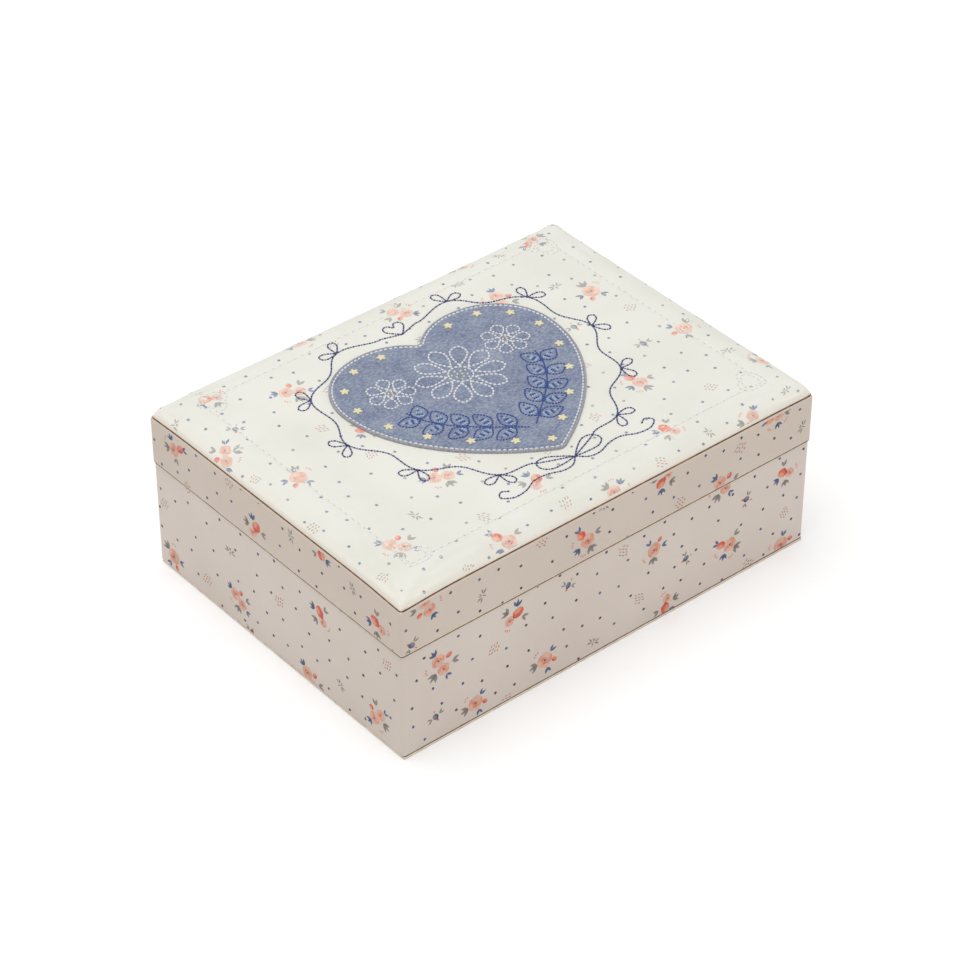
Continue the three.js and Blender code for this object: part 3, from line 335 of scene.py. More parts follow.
def edgeFoil(name, worn, plain, bright):
    return plainFinish(name, {0.3: worn, 0.55: plain, 0.8: bright}, 3 * mm, 5, 0.6,
                       gloss={0.3: 0.55, 0.7: 0.32}, bump=(0.02 * mm, 0.4), Roughness=0.4, Metallic=0.3)


felt = SimpleNamespace(
    blue=srgb(133, 142, 165), pale=srgb(194, 199, 210), deep=srgb(80, 90, 122), rim=srgb(172, 173, 180),
    rimLow=srgb(134, 132, 134),
    clouds={0.34: srgb(104, 110, 142), 0.5: srgb(130, 142, 165), 0.66: srgb(164, 171, 187)})


def denimFelt():
    finish, place = startFinish("denimFelt", Roughness=0.95, Sheen_Weight=0.25, Sheen_Roughness=0.4)
    cloud = speckle(place, 11 * mm, 6, 0.68)
    heather = speckle(place, 1.6 * mm, 5, 0.75, (1, 1.8, 1))
    lint = speckle(place, 0.6 * mm, 3, 0.7, (2.5, 1, 1))
    colour = shade(heather, {0.36: felt.deep, 0.5: felt.blue, 0.64: felt.pale})
    colour = blendColour(0.5, colour, shade(cloud, felt.clouds))
    return painted(finish, colour, None, addUp(heather, lint), 0.12 * mm, 0.7)


def suede(name, low, high):
    finish, place = startFinish(name, Roughness=0.92, Sheen_Weight=0.35, Sheen_Roughness=0.35)
    nap = speckle(place, 5 * mm, 6, 0.7)
    pile = speckle(place, 0.45 * mm, 3, 0.7)
    colour = shade(nap, {0.25: low, 0.75: high})
    level = shade(pile, {0.25: 0.86, 0.75: 1})
    return painted(finish, blendColour(1.0, colour, level, "MULTIPLY"), None, pile, 0.08 * mm, 0.6)


def metal(name, low, high, rough, stretch=(1, 1, 1), grain=0.4 * mm, depth=0.01 * mm):
    finish, place = startFinish(name, Metallic=1.0)
    tarnish = speckle(place, 9 * mm, 3, 0.5)
    brushed = speckle(place, grain, 3, 0.6, stretch)
    colour = shade(tarnish, {0.3: low, 0.7: high})
    gloss = shade(addUp(tarnish, brushed, "MULTIPLY"), {0.1: rough * 0.85, 0.45: rough * 1.2})
    return painted(finish, colour, gloss, brushed, depth, 0.35)


def printInk(name, wash, ground, tone):  # every printed stroke keeps its own colour in the attribute "ink"
    finish, place = startFinish(name, Roughness=0.5)
    ink = addNode(finish.node_tree, "Attribute", attribute_name="ink").outputs["Color"]
    # tone multiplies the ink; below white it is painted shade, used for the print on the walls
    ink = blendColour(1.0, ink, tone, "MULTIPLY")
    pool = speckle(place, 1.1 * mm, 4, 0.6)
    bleed = shade(pool, {0.3: wash[0], 0.7: wash[1]})
    return painted(finish, blendColour(bleed, ink, ground), None, pool, 0.01 * mm, 0.4)


def thread():  # each stitch keeps its own colour in the attribute "thread"
    finish, place = startFinish("embroideryThread", Roughness=0.55, Sheen_Weight=0.3, Sheen_Roughness=0.3)
    dye = addNode(finish.node_tree, "Attribute", attribute_name="thread").outputs["Color"]
    strand = speckle(place, 0.22 * mm, 3, 0.6)
    level = shade(strand, {0.25: 0.78, 0.7: 1})
    return painted(finish, blendColour(1.0, dye, level, "MULTIPLY"), None, strand, 0.05 * mm, 0.6)


ivoryCloth = paddedCloth()
coverFinish = coverPaper("coverPaper", (1, 1, 1, 1))
shadedLidPaper = coverPaper("lidPaper", (0.935, 0.912, 0.88, 1))  # painted shade: the lid's paper is darker and warmer than the base's, as the upper walls get less light bounced from the floor
# painted shade: the two dark foils below are laid in the crease under the pad, in the seam and at the foot,
# where those joints fall in shade
shadeFoil = edgeFoil("shadeFoil", srgb(62, 42, 20), srgb(94, 66, 36), srgb(136, 104, 64))
creaseShade = edgeFoil("creaseShade", srgb(72, 40, 10), srgb(116, 74, 30), srgb(176, 130, 70))
# painted highlight: the two pale foils below are laid on the base's rim and on the lid's lower edge, where
# they catch the light
paintedRimHighlight = edgeFoil("paintedRimHighlight", srgb(124, 96, 58), srgb(164, 138, 96), srgb(204, 182, 140))
paintedEdgeHighlight = edgeFoil("paintedEdgeHighlight", srgb(214, 196, 168), srgb(232, 215, 190), srgb(242, 230, 210))
footCard = edgeFoil("footCard", srgb(216, 200, 182), srgb(230, 216, 200), srgb(238, 228, 212))
denim = denimFelt()
feltRim = plainFinish("greyFelt", {0.34: felt.rimLow, 0.62: felt.rim}, 0.7 * mm, 4, 0.7,
                      bump=(0.1 * mm, 0.7), Roughness=0.95, Sheen_Weight=0.2)
blueSuede = suede("blueSuede", srgb(146, 158, 184), srgb(170, 181, 204))
rollSuede = suede("rollSuede", srgb(158, 169, 193), srgb(182, 192, 212))
brass = metal("brass", srgb(190, 152, 88), srgb(206, 170, 104), 0.26)
steel = metal("steel", srgb(158, 160, 164), srgb(186, 188, 192), 0.3, (1, 1, 8), 1.2 * mm)
castZinc = metal("castZinc", srgb(136, 138, 140), srgb(158, 160, 162), 0.5, (1, 1, 1), 0.7 * mm, 0.05 * mm)
mirrorFinish = plainFinish("mirrorGlass", {0.3: srgb(232, 236, 237), 0.7: srgb(235, 238, 238)}, 30 * mm, 2,
                           gloss={0.4: 0.01, 0.75: 0.016}, Metallic=1.0)
paneFinish = plainFinish("clearPane", {0.3: srgb(246, 249, 250), 0.7: srgb(252, 253, 253)}, 2 * mm, 5, 0.6,
                         (1, 4, 1), gloss={0.5: 0.02, 0.8: 0.09}, Transmission_Weight=1.0, IOR=1.49)
# painted shade: its tone darkens and warms the wall print, as the walls get less light than the top
coverInk = printInk("coverInk", (0.0, 0.1), srgb(230, 214, 198), (0.9, 0.8, 0.75, 1))
clothInk = printInk("clothInk", (0.14, 0.5), srgb(240, 236, 226), (1, 1, 1, 1))
threadFinish = thread()
print("finishes ready")


# Case: covered walls of the base and the lid, with thin rings of painted shade in the creases and of painted
# highlight on the rims

caseLow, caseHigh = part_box("base_walls")
neckLow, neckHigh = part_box("neck_lining")
lidLow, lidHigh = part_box("lid_shell")
sheetLow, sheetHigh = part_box("bottom_sheet")
arborLow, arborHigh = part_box("winding_arbor")
caseBox = sized(board=3, corner=1.2, neckBoard=1.5, rim=0.45, lidRim=1.3, arborHole=3.2)
# how deep each corner of the lid has sunk, and the insets of the cuts that let its walls follow
settled = sized({"deep": {(-1, -1): 1.1 * mm, (-1, 1): 0.75 * mm, (1, -1): 0.35 * mm, (1, 1): 0},
                 "cuts": (4, 8, 12, 17, 23, 30)}, reach=14)


def half(high, inset=0.0):
    return (high.x - inset, high.y - inset)


def boreThrough(piece, centre, radius, length):
    bm = bmesh.new()
    turn = Matrix.Rotation(pi / 2, 4, "X")
    bmesh.ops.create_cone(bm, cap_ends=True, segments=32, radius1=radius, radius2=radius, depth=length,
                          matrix=Matrix.Translation(centre) @ turn)
    cutter = makePiece(bm, "cutter", shadeFoil)
    modify(piece, "BOOLEAN", object=cutter, solver="EXACT")
    piece.data.set_sharp_from_angle(angle=radians(35))
    bpy.data.objects.remove(cutter)


def settle(spot):  # the lid's top edge has sunk a little at its corners
    toCorner = hypot(lidHigh.x - abs(spot.x), lidHigh.y - abs(spot.y))
    deep = settled.deep[1 if spot.x > 0 else -1, 1 if spot.y > 0 else -1]
    share = min(1, max(0, (spot.z - lidLow.z) / (lidHigh.z - lidLow.z)))
    spot.z -= deep * share * exp(-(toCorner / settled.reach) ** 2)


def settleCorners(piece):
    bm = bmesh.new()
    bm.from_mesh(piece.data)
    for axis, reach in ((toRight, lidHigh.x), (toBack, lidHigh.y)):
        for inset in settled.cuts:
            for side in (-1, 1):
                cutAlong(bm, axis * side * (reach - inset * mm), axis)
    for vertex in bm.verts:
        settle(vertex.co)
    bm.to_mesh(piece.data)
    bm.free()


baseWalls = wallRing("baseWalls", coverFinish, half(caseHigh), half(caseHigh, caseBox.board),
                     caseLow.z, caseHigh.z, caseBox.corner, caseBox.rim)
neckLining = wallRing("neckLining", blueSuede, half(neckHigh), half(neckHigh, caseBox.neckBoard),
                      neckLow.z, neckHigh.z, corner=0.8 * mm)
arborAxis = Vector(((arborLow.x + arborHigh.x) / 2, caseHigh.y, (arborLow.z + arborHigh.z) / 2))
for piece in (baseWalls, neckLining):
    boreThrough(piece, arborAxis, caseBox.arborHole, 20 * mm)
fit(baseWalls, "base", "printed_cover", "base_walls")
fit(neckLining, "base", "suede_lining", "neck_lining")
lidWalls = wallRing("lidWalls", shadedLidPaper, half(lidHigh), half(lidHigh, caseBox.board),
                    lidLow.z, lidHigh.z, caseBox.corner, caseBox.lidRim)
settleCorners(lidWalls)
fit(lidWalls, "lid", "printed_cover")


def slab(name, finish, halfWidth, halfDepth, low, high, corner, rim):
    bm = bmesh.new()
    face = roundedLoop(bm, halfWidth, halfDepth, corner, low)
    raiseBlock(bm, [face], high - low)
    edges = [e for e in bm.edges if abs(e.verts[0].co.z - e.verts[1].co.z) < 1e-7]
    softBevel(bm, edges, rim)
    return makePiece(bm, name, finish)


lidBoard = slab("lidBoard", shadedLidPaper, *half(lidHigh, caseBox.board - 0.2 * mm),
                lidHigh.z - caseBox.board, lidHigh.z - 0.2 * mm, corner=0.5 * mm, rim=0.1 * mm)
fit(lidBoard, "lid", "printed_cover", "lid_shell")
# the board under the case sits a little to the front and the right
footSlip = Matrix.Translation((0.15 * mm, -0.15 * mm, 0))
underSheet = slab("underSheet", footCard, *half(sheetHigh, -0.2 * mm), sheetLow.z, sheetHigh.z,
                  corner=0.8 * mm, rim=0.25 * mm)
underSheet.data.transform(footSlip)
fit(underSheet, "base", "edge_paper", "bottom_sheet")


def paintedLightLine(name, finish, high, inset, bottom, top, body):  # a thin ring along an edge of the case; its colour is painted shade in the creases and painted highlight on the rims
    soft = 0.08 * mm
    ring = wallRing(name, finish, half(high, inset), half(high, 1.4 * mm), bottom, top, caseBox.corner,
                    soft, soft)
    return fit(ring, body, "edge_paper")


caseTop, lidFoot, lidTop = caseHigh.z, lidLow.z, lidHigh.z
# painted shade at the foot
foot = paintedLightLine("footShade", shadeFoil, caseHigh, 0.15 * mm, sheetHigh.z - 0.02 * mm, caseLow.z + 0.05 * mm,
                "base")
foot.data.transform(footSlip)
# painted highlights on the lid's lower edge and on the base's rim
paintedLightLine("lidEdge", paintedEdgeHighlight, lidHigh, -0.03 * mm, lidFoot + 0.06 * mm, lidFoot + 0.36 * mm, "lid")
paintedLightLine("rimHighlight", paintedRimHighlight, caseHigh, -0.06 * mm, caseTop - 0.2 * mm, caseTop + 0.24 * mm, "base")
# painted shade in the seam under the lid and in the crease under the pad
paintedLightLine("lidFootShade", shadeFoil, lidHigh, 0.04 * mm, lidFoot - 0.36 * mm, lidFoot + 0.05 * mm, "lid")
crease = paintedLightLine("creaseShade", creaseShade, lidHigh, 0.43 * mm, lidTop - 0.5 * mm, lidTop + 0.06 * mm, "lid")
settleCorners(crease)
print("case built")


# Padded top: foam under cloth, swelled by a pressure run

padLow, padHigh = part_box("lid_pad")
heartLow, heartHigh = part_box("heart_patch")
pad = sized({"pressure": 5, "drawn": 0.32}, roll=5, corner=1.2, voxel=1.6, held=2, swell=0.75, sink=2.4,
            inset=0.2, square=3, borderX=85, borderY=62, borderDip=0.4, borderSoft=1.1, heartDip=0.4,
            heartSoft=2.6, uneven=0.1)


def cushionBlock(bm, low, high, corner, roll, steps=8):  # upright sides below, rolled in to a flat top
    middle, size = (low + high) / 2, (high - low) / 2
    turns = [step / steps * pi / 2 for step in range(steps + 1)]
    levels = [(0, low.z)]
    levels += [(roll * (1 - cos(turn)), high.z - roll + roll * sin(turn)) for turn in turns]
    loops = []
    for index, (inset, height) in enumerate(levels):
        face = roundedLoop(bm, size.x - inset, size.y - inset, corner + inset * 1.2, height)
        bmesh.ops.translate(bm, vec=(middle.x, middle.y, 0), verts=list(face.verts))
        loops.append(list(face.edges))
        if 0 < index < steps + 1:
            bmesh.ops.delete(bm, geom=[face], context="FACES_ONLY")
    for below, above in zip(loops, loops[1:]):
        bmesh.ops.bridge_loops(bm, edges=below + above)


def spaced(path, pitch):  # points along a path at an even pitch, with the way it runs
    found, need = [], pitch / 2
    for a, b in zip(path, path[1:]):
        length = (b - a).length
        while need <= length and length > 0:
            found.append((a.lerp(b, need / length), (b - a).normalized()))
            need += pitch
        need -= length
    return found


def pathLength(path):
    return sum((b - a).length for a, b in zip(path, path[1:]))


# the patch's outline, from the cleft round to the right, evenly spaced
heartMiddle = Vector((0, 5 * mm, 0))
corners = {(round(v.co.x, 6), round(v.co.y, 6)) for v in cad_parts["heart_patch"].data.vertices}
corners = sorted(corners, key=lambda c: atan2(c[0], c[1] - heartMiddle.y) % (2 * pi))
heartPath = [Vector((x, y, 0)) for x, y in corners]
heartPath.append(heartPath[0].copy())
heartEdge = [spot for spot, _ in spaced(heartPath, pathLength(heartPath) / 180)]


def heartOutline(grow=0.0):
    count = len(heartEdge)
    return [spot + leftOf(heartEdge[(i + 1) % count] - heartEdge[i - 1]).normalized() * grow
            for i, spot in enumerate(heartEdge)]


def heartPoint(share, grow=0.0):  # share runs from 0 at the cleft round to 1; grow pushes outwards
    line = heartOutline(grow)
    place = (share * len(line) - 0.5) % len(line)
    return line[int(place)].lerp(line[(int(place) + 1) % len(line)], place % 1)


def nearness(points):  # a quick way to ask how far a spot lies from a line of points, in plan
    tree = kdtree.KDTree(len(points))
    for i, point in enumerate(points):
        tree.insert((point.x, point.y, 0), i)
    tree.balance()
    return lambda spot: tree.find((spot.x, spot.y, 0))[2]


bm = bmesh.new()
cushionBlock(bm, padLow - up * pad.sink, padHigh - up * 0.5 * mm, pad.corner, pad.roll)
lidPad = makePiece(bm, "lidPad", ivoryCloth, sharpAngle=0)
modify(lidPad, "REMESH", mode="VOXEL", voxel_size=pad.voxel)
puffUp(lidPad, lambda spot: spot.z < padLow.z + pad.held, pad.swell, pad.pressure)
modify(lidPad, "SUBSURF", levels=1, render_levels=1)
# brought back to its size, with its upright corners drawn out square and settled like the lid's
reached = [[vertex.co[i] for vertex in lidPad.data.vertices] for i in range(3)]
sizes = [(min(line), max(line)) for line in reached]
wanted = [(padLow[i] + pad.inset, padHigh[i] - pad.inset) for i in (0, 1)]
wanted.append((padLow.z - pad.sink, padHigh.z + 0.25 * mm))
for vertex in lidPad.data.vertices:
    spot = vertex.co
    for i, ((low, high), (newLow, newHigh)) in enumerate(zip(sizes, wanted)):
        spot[i] = newLow + (spot[i] - low) * (newHigh - newLow) / (high - low)
    cornerX, cornerY = [abs(spot[i]) - padHigh[i] + pad.square for i in (0, 1)]
    if cornerX > 0 and cornerY > 0:
        reach = hypot(cornerX, cornerY)
        pull = (reach / max(cornerX, cornerY) - 1) * pad.drawn * min(1, reach / pad.square) ** 2
        spot.x += copysign(cornerX * pull, spot.x)
        spot.y += copysign(cornerY * pull, spot.y)
    settle(spot)
calmTop = surfaceOf(lidPad)
toHeart = nearness(heartOutline())
borderX, borderY = pad.borderX, pad.borderY
for vertex in lidPad.data.vertices:
    spot = vertex.co
    if spot.z > padLow.z + 4 * mm:
        toBorder = max(abs(spot.x) - borderX, abs(spot.y) - borderY)
        spot.z -= pad.borderDip * exp(-(toBorder / pad.borderSoft) ** 2)
        spot.z -= pad.heartDip * exp(-(toHeart(spot) / pad.heartSoft) ** 2)
        spot.z += pad.uneven * noise.noise(spot / (22 * mm))
lidPad.data.shade_smooth()
dress(lidPad.data, ivoryCloth)
fit(lidPad, "lid", "padded_cloth", "lid_pad")
padTop = surfaceOf(lidPad)
print("padded top done, highest", round(max(v.co.z for v in lidPad.data.vertices) / mm, 2))


def onPad(spot):
    # the surface over a flat spot of cloth, and its normal; past the flat part the cloth turns down
    flatX, flatY = padHigh.x - pad.roll, padHigh.y - pad.roll
    base = Vector((max(-flatX, min(flatX, spot.x)), max(-flatY, min(flatY, spot.y)), padHigh.z - pad.roll))
    past = Vector((spot.x - base.x, spot.y - base.y, 0))
    turn = min(past.length / pad.roll, pi / 2)
    direction = up if past.length < 1e-9 else past.normalized() * sin(turn) + up * cos(turn)
    point, normal, _, _ = padTop.ray_cast(base - direction * 1 * mm, direction, 20 * mm)
    if point is None:
        return base + direction * pad.roll, direction
    return point, normal if normal.dot(direction) > 0 else -normal


# Heart patch: a felt heart with a pale cut rim and a sewn groove, laid over the pad

heart = sized(inset=0.5, thick=1.2, sunk=0.65, soft=0.3, rim=0.75, groove=1.2, grooveDeep=0.35, cell=5)
bm = bmesh.new()
lower = bm.faces.new([bm.verts.new(point) for point in heartOutline(-heart.inset)])
raiseBlock(bm, [lower], heart.thick)
top = max(bm.faces, key=lambda f: f.calc_center_median().z)
softBevel(bm, list(top.edges), heart.soft)
top = max((f for f in bm.faces if len(f.verts) > 20), key=lambda f: f.calc_center_median().z)
for width, lift in ((heart.rim - heart.soft, 0), (heart.groove / 2, -heart.grooveDeep),
                    (heart.groove / 2, heart.grooveDeep)):
    bmesh.ops.inset_region(bm, faces=[top], thickness=width, depth=0, use_even_offset=True)
    bmesh.ops.translate(bm, vec=up * lift, verts=list(top.verts))
for face in bm.faces:
    face.material_index = 1
inner = {top}
for _ in range(2):
    inner |= {f for g in inner for e in g.edges for f in e.link_faces}
for face in inner:
    face.material_index = 0
for axis in (toRight, toBack):  # cut into cells, so that it can follow the pad
    for step in range(-11, 12):
        cutAlong(bm, axis * (step * heart.cell + 0.3 * mm), axis, near=1e-6)
for vertex in bm.verts:
    under = calmTop.ray_cast(Vector((vertex.co.x, vertex.co.y, padHigh.z + 10 * mm)), -up)[0]
    vertex.co.z += under.z - heart.sunk
bmesh.ops.triangulate(bm, faces=[f for f in bm.faces if len(f.verts) > 4])
heartFelt = makePiece(bm, "heartFelt", [denim, feltRim])
fit(heartFelt, "lid", "denim_felt", "heart_patch")
feltTop = surfaceOf(heartFelt)
heartTop = max(v.co.z for v in heartFelt.data.vertices)
print("heart patch done, top", round(heartTop / mm, 2))


def onFelt(spot):
    point, normal, _, _ = feltTop.ray_cast(Vector((spot.x, spot.y, heartTop + 5 * mm)), -up)
    return (point, normal) if point is not None else onPad(spot)


# Embroidery: every stitch is its own small bead of thread

navy, paleNavy = srgb(24, 30, 94), srgb(92, 102, 160)
whiteThread, creamThread, paintedShadeThread = srgb(242, 242, 244), srgb(255, 255, 252), srgb(236, 235, 226)
skyThread, deepSky = srgb(182, 204, 234), srgb(44, 78, 154)
yellowThread, goldThread = srgb(246, 238, 200), srgb(238, 206, 112)


def smoothPath(points, steps=14):  # a curve through the points, evenly filled
    last = len(points) - 1
    path = []
    for i in range(last):
        a, b, c, d = [points[max(0, min(last, i + k))] for k in (-1, 0, 1, 2)]
        for step in range(steps):
            t = step / steps
            path.append(0.5 * ((2 * b) + (c - a) * t + (2 * a - 5 * b + 4 * c - d) * t * t
                               + (3 * b - a - 3 * c + d) * t ** 3))
    return path + [points[-1].copy()]


beads = {}


def beadOf(colour):  # one small bead of thread in each colour, copied for every stitch
    if colour not in beads:
        bm = bmesh.new()
        tint = bm.verts.layers.float_color.new("thread")
        bmesh.ops.create_uvsphere(bm, u_segments=6, v_segments=4, radius=1)
        for vertex in bm.verts:
            vertex[tint] = colour
        beads[colour] = bpy.data.meshes.new("bead")
        bm.to_mesh(beads[colour])
        bm.free()
    return beads[colour]


def addStitch(bm, surface, spot, way, length, width, colour, lift=0.1):
    point, normal = surface(spot)
    side = normal.cross(way).normalized()
    along = side.cross(normal)
    turn = Matrix((side, normal, along)).transposed().to_4x4()
    size = Matrix.Diagonal((width / 2, width * 0.38, length / 2, 1))
    stitch = beadOf(colour).copy()
    stitch.transform(Matrix.Translation(point + normal * width * lift) @ turn @ size)
    bm.from_mesh(stitch)
    bpy.data.meshes.remove(stitch)


def sew(bm, surface, path, pitch, width, colours, fill=0.86):
    for i, (spot, way) in enumerate(spaced(path, pitch)):
        length, colour = colours[i % len(colours)]
        addStitch(bm, surface, spot, way, pitch * fill * length, width, colour)


def endThread(bm, name):
    return fit(makePiece(bm, name, threadFinish, closed=False, sharpAngle=0), "lid", "padded_cloth")


def outlineAt(root, along, across, outline):  # an outline given in shares of its length and its width
    return [root + along * reach + across * wide for reach, wide in outline]


# the garland: a wavy line round the heart, with loops for its bows and a small open heart at its top;
# it keeps between an oval and the heart's own outline
garland = sized({"waves": 12, "ovalWide": 1.12, "ovalHigh": 1.14, "follow": 0.6,
                 "colours": [(1.3, navy), (0.85, paleNavy)]},
                gap=7.2, wave=2.4, pitch=1.1, width=0.76, loop=7.2, knotLoop=15, knot=-52.5, top=48)
# a bow's loop is in shares of its size, the other two outlines are in millimetres
bowLoop = ((0, 0), (0.35, 0.16), (0.72, 0.25), (0.97, 0.12), (0.98, -0.13), (0.7, -0.24), (0.33, -0.14),
           (0, 0))
tail = ((0, 0), (4, -3.4), (9, -3.8), (15, -1.8), (21, -1.6), (27, -4.2), (33, -4.6), (37, -1.8), (35, 0.8),
        (32.4, -0.4))
halfHeart = ((0, 0), (2.6, 2.6), (4.4, 5.2), (3.6, 7.6), (1.4, 7.6), (0, 5.6))


def garlandPoint(share):
    angle = 2 * pi * share
    wide, high = heartHigh.x * garland.ovalWide, heartHigh.y * garland.ovalHigh
    oval = Vector((wide * sin(angle), high * cos(angle) + 1 * mm, 0))
    outwards = Vector((sin(angle), cos(angle), 0))
    wave = garland.wave * cos(garland.waves * angle)
    return oval.lerp(heartPoint(share, garland.gap), garland.follow) + outwards * wave


def sewCord(bm, points, steps=14):
    sew(bm, onPad, smoothPath(points, steps=steps), garland.pitch, garland.width, garland.colours)


def sewBow(bm, centre, outwards, size, spread=0.85):
    for side in (-1, 1):
        axis = Matrix.Rotation(side * spread, 3, "Z") @ outwards
        sewCord(bm, outlineAt(centre, axis * size, leftOf(axis) * size, bowLoop))


bm = bmesh.new()
top, knot = toBack * garland.top, toBack * garland.knot
right = [garlandPoint(i / 144) for i in range(5, 68)]  # its right half, short of the top and the knot
for side in (-1, 1):
    sewCord(bm, [top] + [Vector((side * spot.x, spot.y, 0)) for spot in right] + [knot], 4)
    for wave in range(1, garland.waves // 2):
        angle = 2 * pi * wave / garland.waves
        centre = garlandPoint(wave / garland.waves)
        outwards = Vector((side * sin(angle), cos(angle), 0))
        sewBow(bm, Vector((side * centre.x, centre.y, 0)), outwards, garland.loop)
    sewCord(bm, [knot + Vector((side * x * mm, y * mm, 0)) for x, y in tail])
sewBow(bm, knot, toBack, garland.knotLoop, 1.28)
smallHeart = halfHeart + tuple((-x, y) for x, y in halfHeart[-2::-1])
sewCord(bm, [top + Vector((x, y, 0)) * mm for x, y in smallHeart])
endThread(bm, "garlandStitches")

# tone-on-tone border with a small heart in each corner
bm = bmesh.new()
border = sized(pitch=1.75, width=0.72, heart=6, heartInset=4.5, heartPitch=1.15, stop=8)
corners = [Vector((x * borderX, y * borderY, 0)) for x, y in ((-1, -1), (1, -1), (1, 1), (-1, 1), (-1, -1))]
for a, b in zip(corners, corners[1:]):
    way = (b - a).normalized() * border.stop
    # the short grey stitches between the white ones are painted shade
    colours = [(1.5, creamThread), (0.55, paintedShadeThread)]
    sew(bm, onPad, [a + way, b - way], border.pitch, border.width, colours)
for corner in corners[:4]:
    turn = Matrix.Rotation(atan2(corner.x, -corner.y), 3, "Z")  # the heart's point is towards the corner
    for size in (1, 0.66):
        centre = corner * (1 - border.heartInset / corner.length)
        scale = border.heart * size / heartHigh.x
        shape = [centre + turn @ (point - heartMiddle) * scale for point in heartOutline()]
        colours = [(1.2, creamThread), (0.7, paintedShadeThread)]
        sew(bm, onPad, shape + shape[:1], border.heartPitch, border.width, colours)
endThread(bm, "borderStitches")

# on the felt: a white outline, daisies, two leafy sprigs and a ring of small stars
outline = heartOutline(-(heart.inset + heart.rim + heart.groove / 2))
bm = bmesh.new()
white = [(1, whiteThread)]
feltStitch = sized(pitch=1.95, width=0.95, seedLong=1.1, seedWide=0.75)
sew(bm, onFelt, outline + outline[:1], feltStitch.pitch, feltStitch.width, white)
# each daisy's place, reach, petals, eye, thread width and pitch, in millimetres
daisies = [((0, 13), 18, 10, 4.8, 0.95, 1.75),
           ((-28, 20), 9.5, 7, 2.3, 0.85, 1.5), ((28, 20), 9.5, 7, 2.3, 0.85, 1.5)]
petalShape = ((0.32, 0), (0.55, 0.7), (0.82, 0.95), (1, 0), (0.82, -0.95), (0.55, -0.7), (0.32, 0))
for place, reach, petals, eyeSize, width, pitch in daisies:
    middle = Vector((*place, 0)) * mm
    eye = [middle + heading(i / 5) * eyeSize * mm for i in range(33)]
    sew(bm, onFelt, eye, pitch * mm, width * mm, white)
    for petal in range(petals):
        axis = heading(2 * pi * (petal + 0.5) / petals) * reach * mm
        shape = outlineAt(middle, axis, leftOf(axis) * (1.9 / petals), petalShape)
        sew(bm, onFelt, smoothPath(shape, steps=8), pitch * mm, width * mm, white)
    seeds = eyeSize * 2.4
    for seed in range(int(seeds)):
        turned = heading(2.4 * seed)
        spot = middle + turned * eyeSize * mm * 0.8 * sqrt((seed + 0.4) / seeds)
        addStitch(bm, onFelt, spot, leftOf(turned), feltStitch.seedLong, feltStitch.seedWide,
                  yellowThread)
endThread(bm, "whiteStitches")

sprig = sized({"stem": [(1.5, -29), (8, -23.5), (16, -17), (23.5, -9.5), (29, -1), (31.5, 7)],
               "leafLean": 0.82}, step=9, leafLong=11, leafWide=6.4, pitch=1.2, width=0.78)
leafShape = ((0.08, 0), (0.3, 0.8), (0.6, 0.95), (1, 0), (0.6, -0.95), (0.3, -0.8), (0.08, 0))


def sewSprig(bm, path, *colours):
    sew(bm, onFelt, path, sprig.pitch, sprig.width, colours)


bm = bmesh.new()
for side in (-1, 1):
    stem = smoothPath([Vector((side * x * mm, y * mm, 0)) for x, y in sprig.stem])
    sewSprig(bm, stem, (1, deepSky))
    for index, (root, way) in enumerate(spaced(stem, sprig.step)):
        long, wide = sprig.leafLong * (1 - 0.04 * index), sprig.leafWide / 2
        for hand in (-1, 1):
            axis = Matrix.Rotation(hand * sprig.leafLean, 3, "Z") @ way
            across = leftOf(axis)
            edge = outlineAt(root, axis * long, across * wide, leafShape)
            sewSprig(bm, smoothPath(edge, steps=8), (1, deepSky))
            for row, reach in ((-0.42, 0.62), (0, 0.84), (0.42, 0.62)):  # three rows fill the leaf
                inside = [root + axis * long * 0.2 + across * wide * row * 0.7,
                          root + (axis + across * wide * row / long) * long * reach]
                sewSprig(bm, inside, (1.1, skyThread), (0.9, deepSky))
endThread(bm, "sprigStitches")

stars = sized({"count": 18}, inset=6.6, reach=1.8, width=1.35, eyeLong=1, eyeWide=0.9)
rng = random.Random(21)
bm = bmesh.new()
for index in range(1, stars.count):
    middle = heartPoint(index / stars.count, -stars.inset)
    turn = rng.random() * 6
    for point in range(5):
        axis = heading(turn + 2 * pi * point / 5)
        ray = middle + axis * stars.reach * 0.5
        addStitch(bm, onFelt, ray, axis, stars.reach * 1.2, stars.width, yellowThread, 0.16)
    addStitch(bm, onFelt, middle, toRight, stars.eyeLong, stars.eyeWide, goldThread, 0.3)
endThread(bm, "starStitches")
print("embroidery sewn")


# Print: small posies, sprigs and dots, as thin flat shapes laid on the cover

inks = {"peach": srgb(236, 172, 140), "blush": srgb(242, 196, 178), "apricot": srgb(230, 142, 104),
        "coral": srgb(238, 92, 64), "red": srgb(204, 72, 58), "slate": srgb(62, 98, 150),
        "navy": srgb(38, 44, 108), "grey": srgb(140, 140, 138), "violet": srgb(108, 88, 150),
        "soot": srgb(10, 12, 56)}
# gaps are between motifs of one kind; the rooms are kept free round a posy or a sprig
posyPrint = sized({"wallDots": ("soot", "soot", "navy", "slate"),
                   "topDots": ("slate", "slate", "slate", "navy", "grey")},
                  lift=0.03, layer=0.006, dot=1.25, wallEdge=7.5, posyGap=31, sprigGap=24, dotGap=8.8,
                  sprigRoom=13.5, posyDotRoom=8.8, sprigDotRoom=4.6)
rng = random.Random(7)


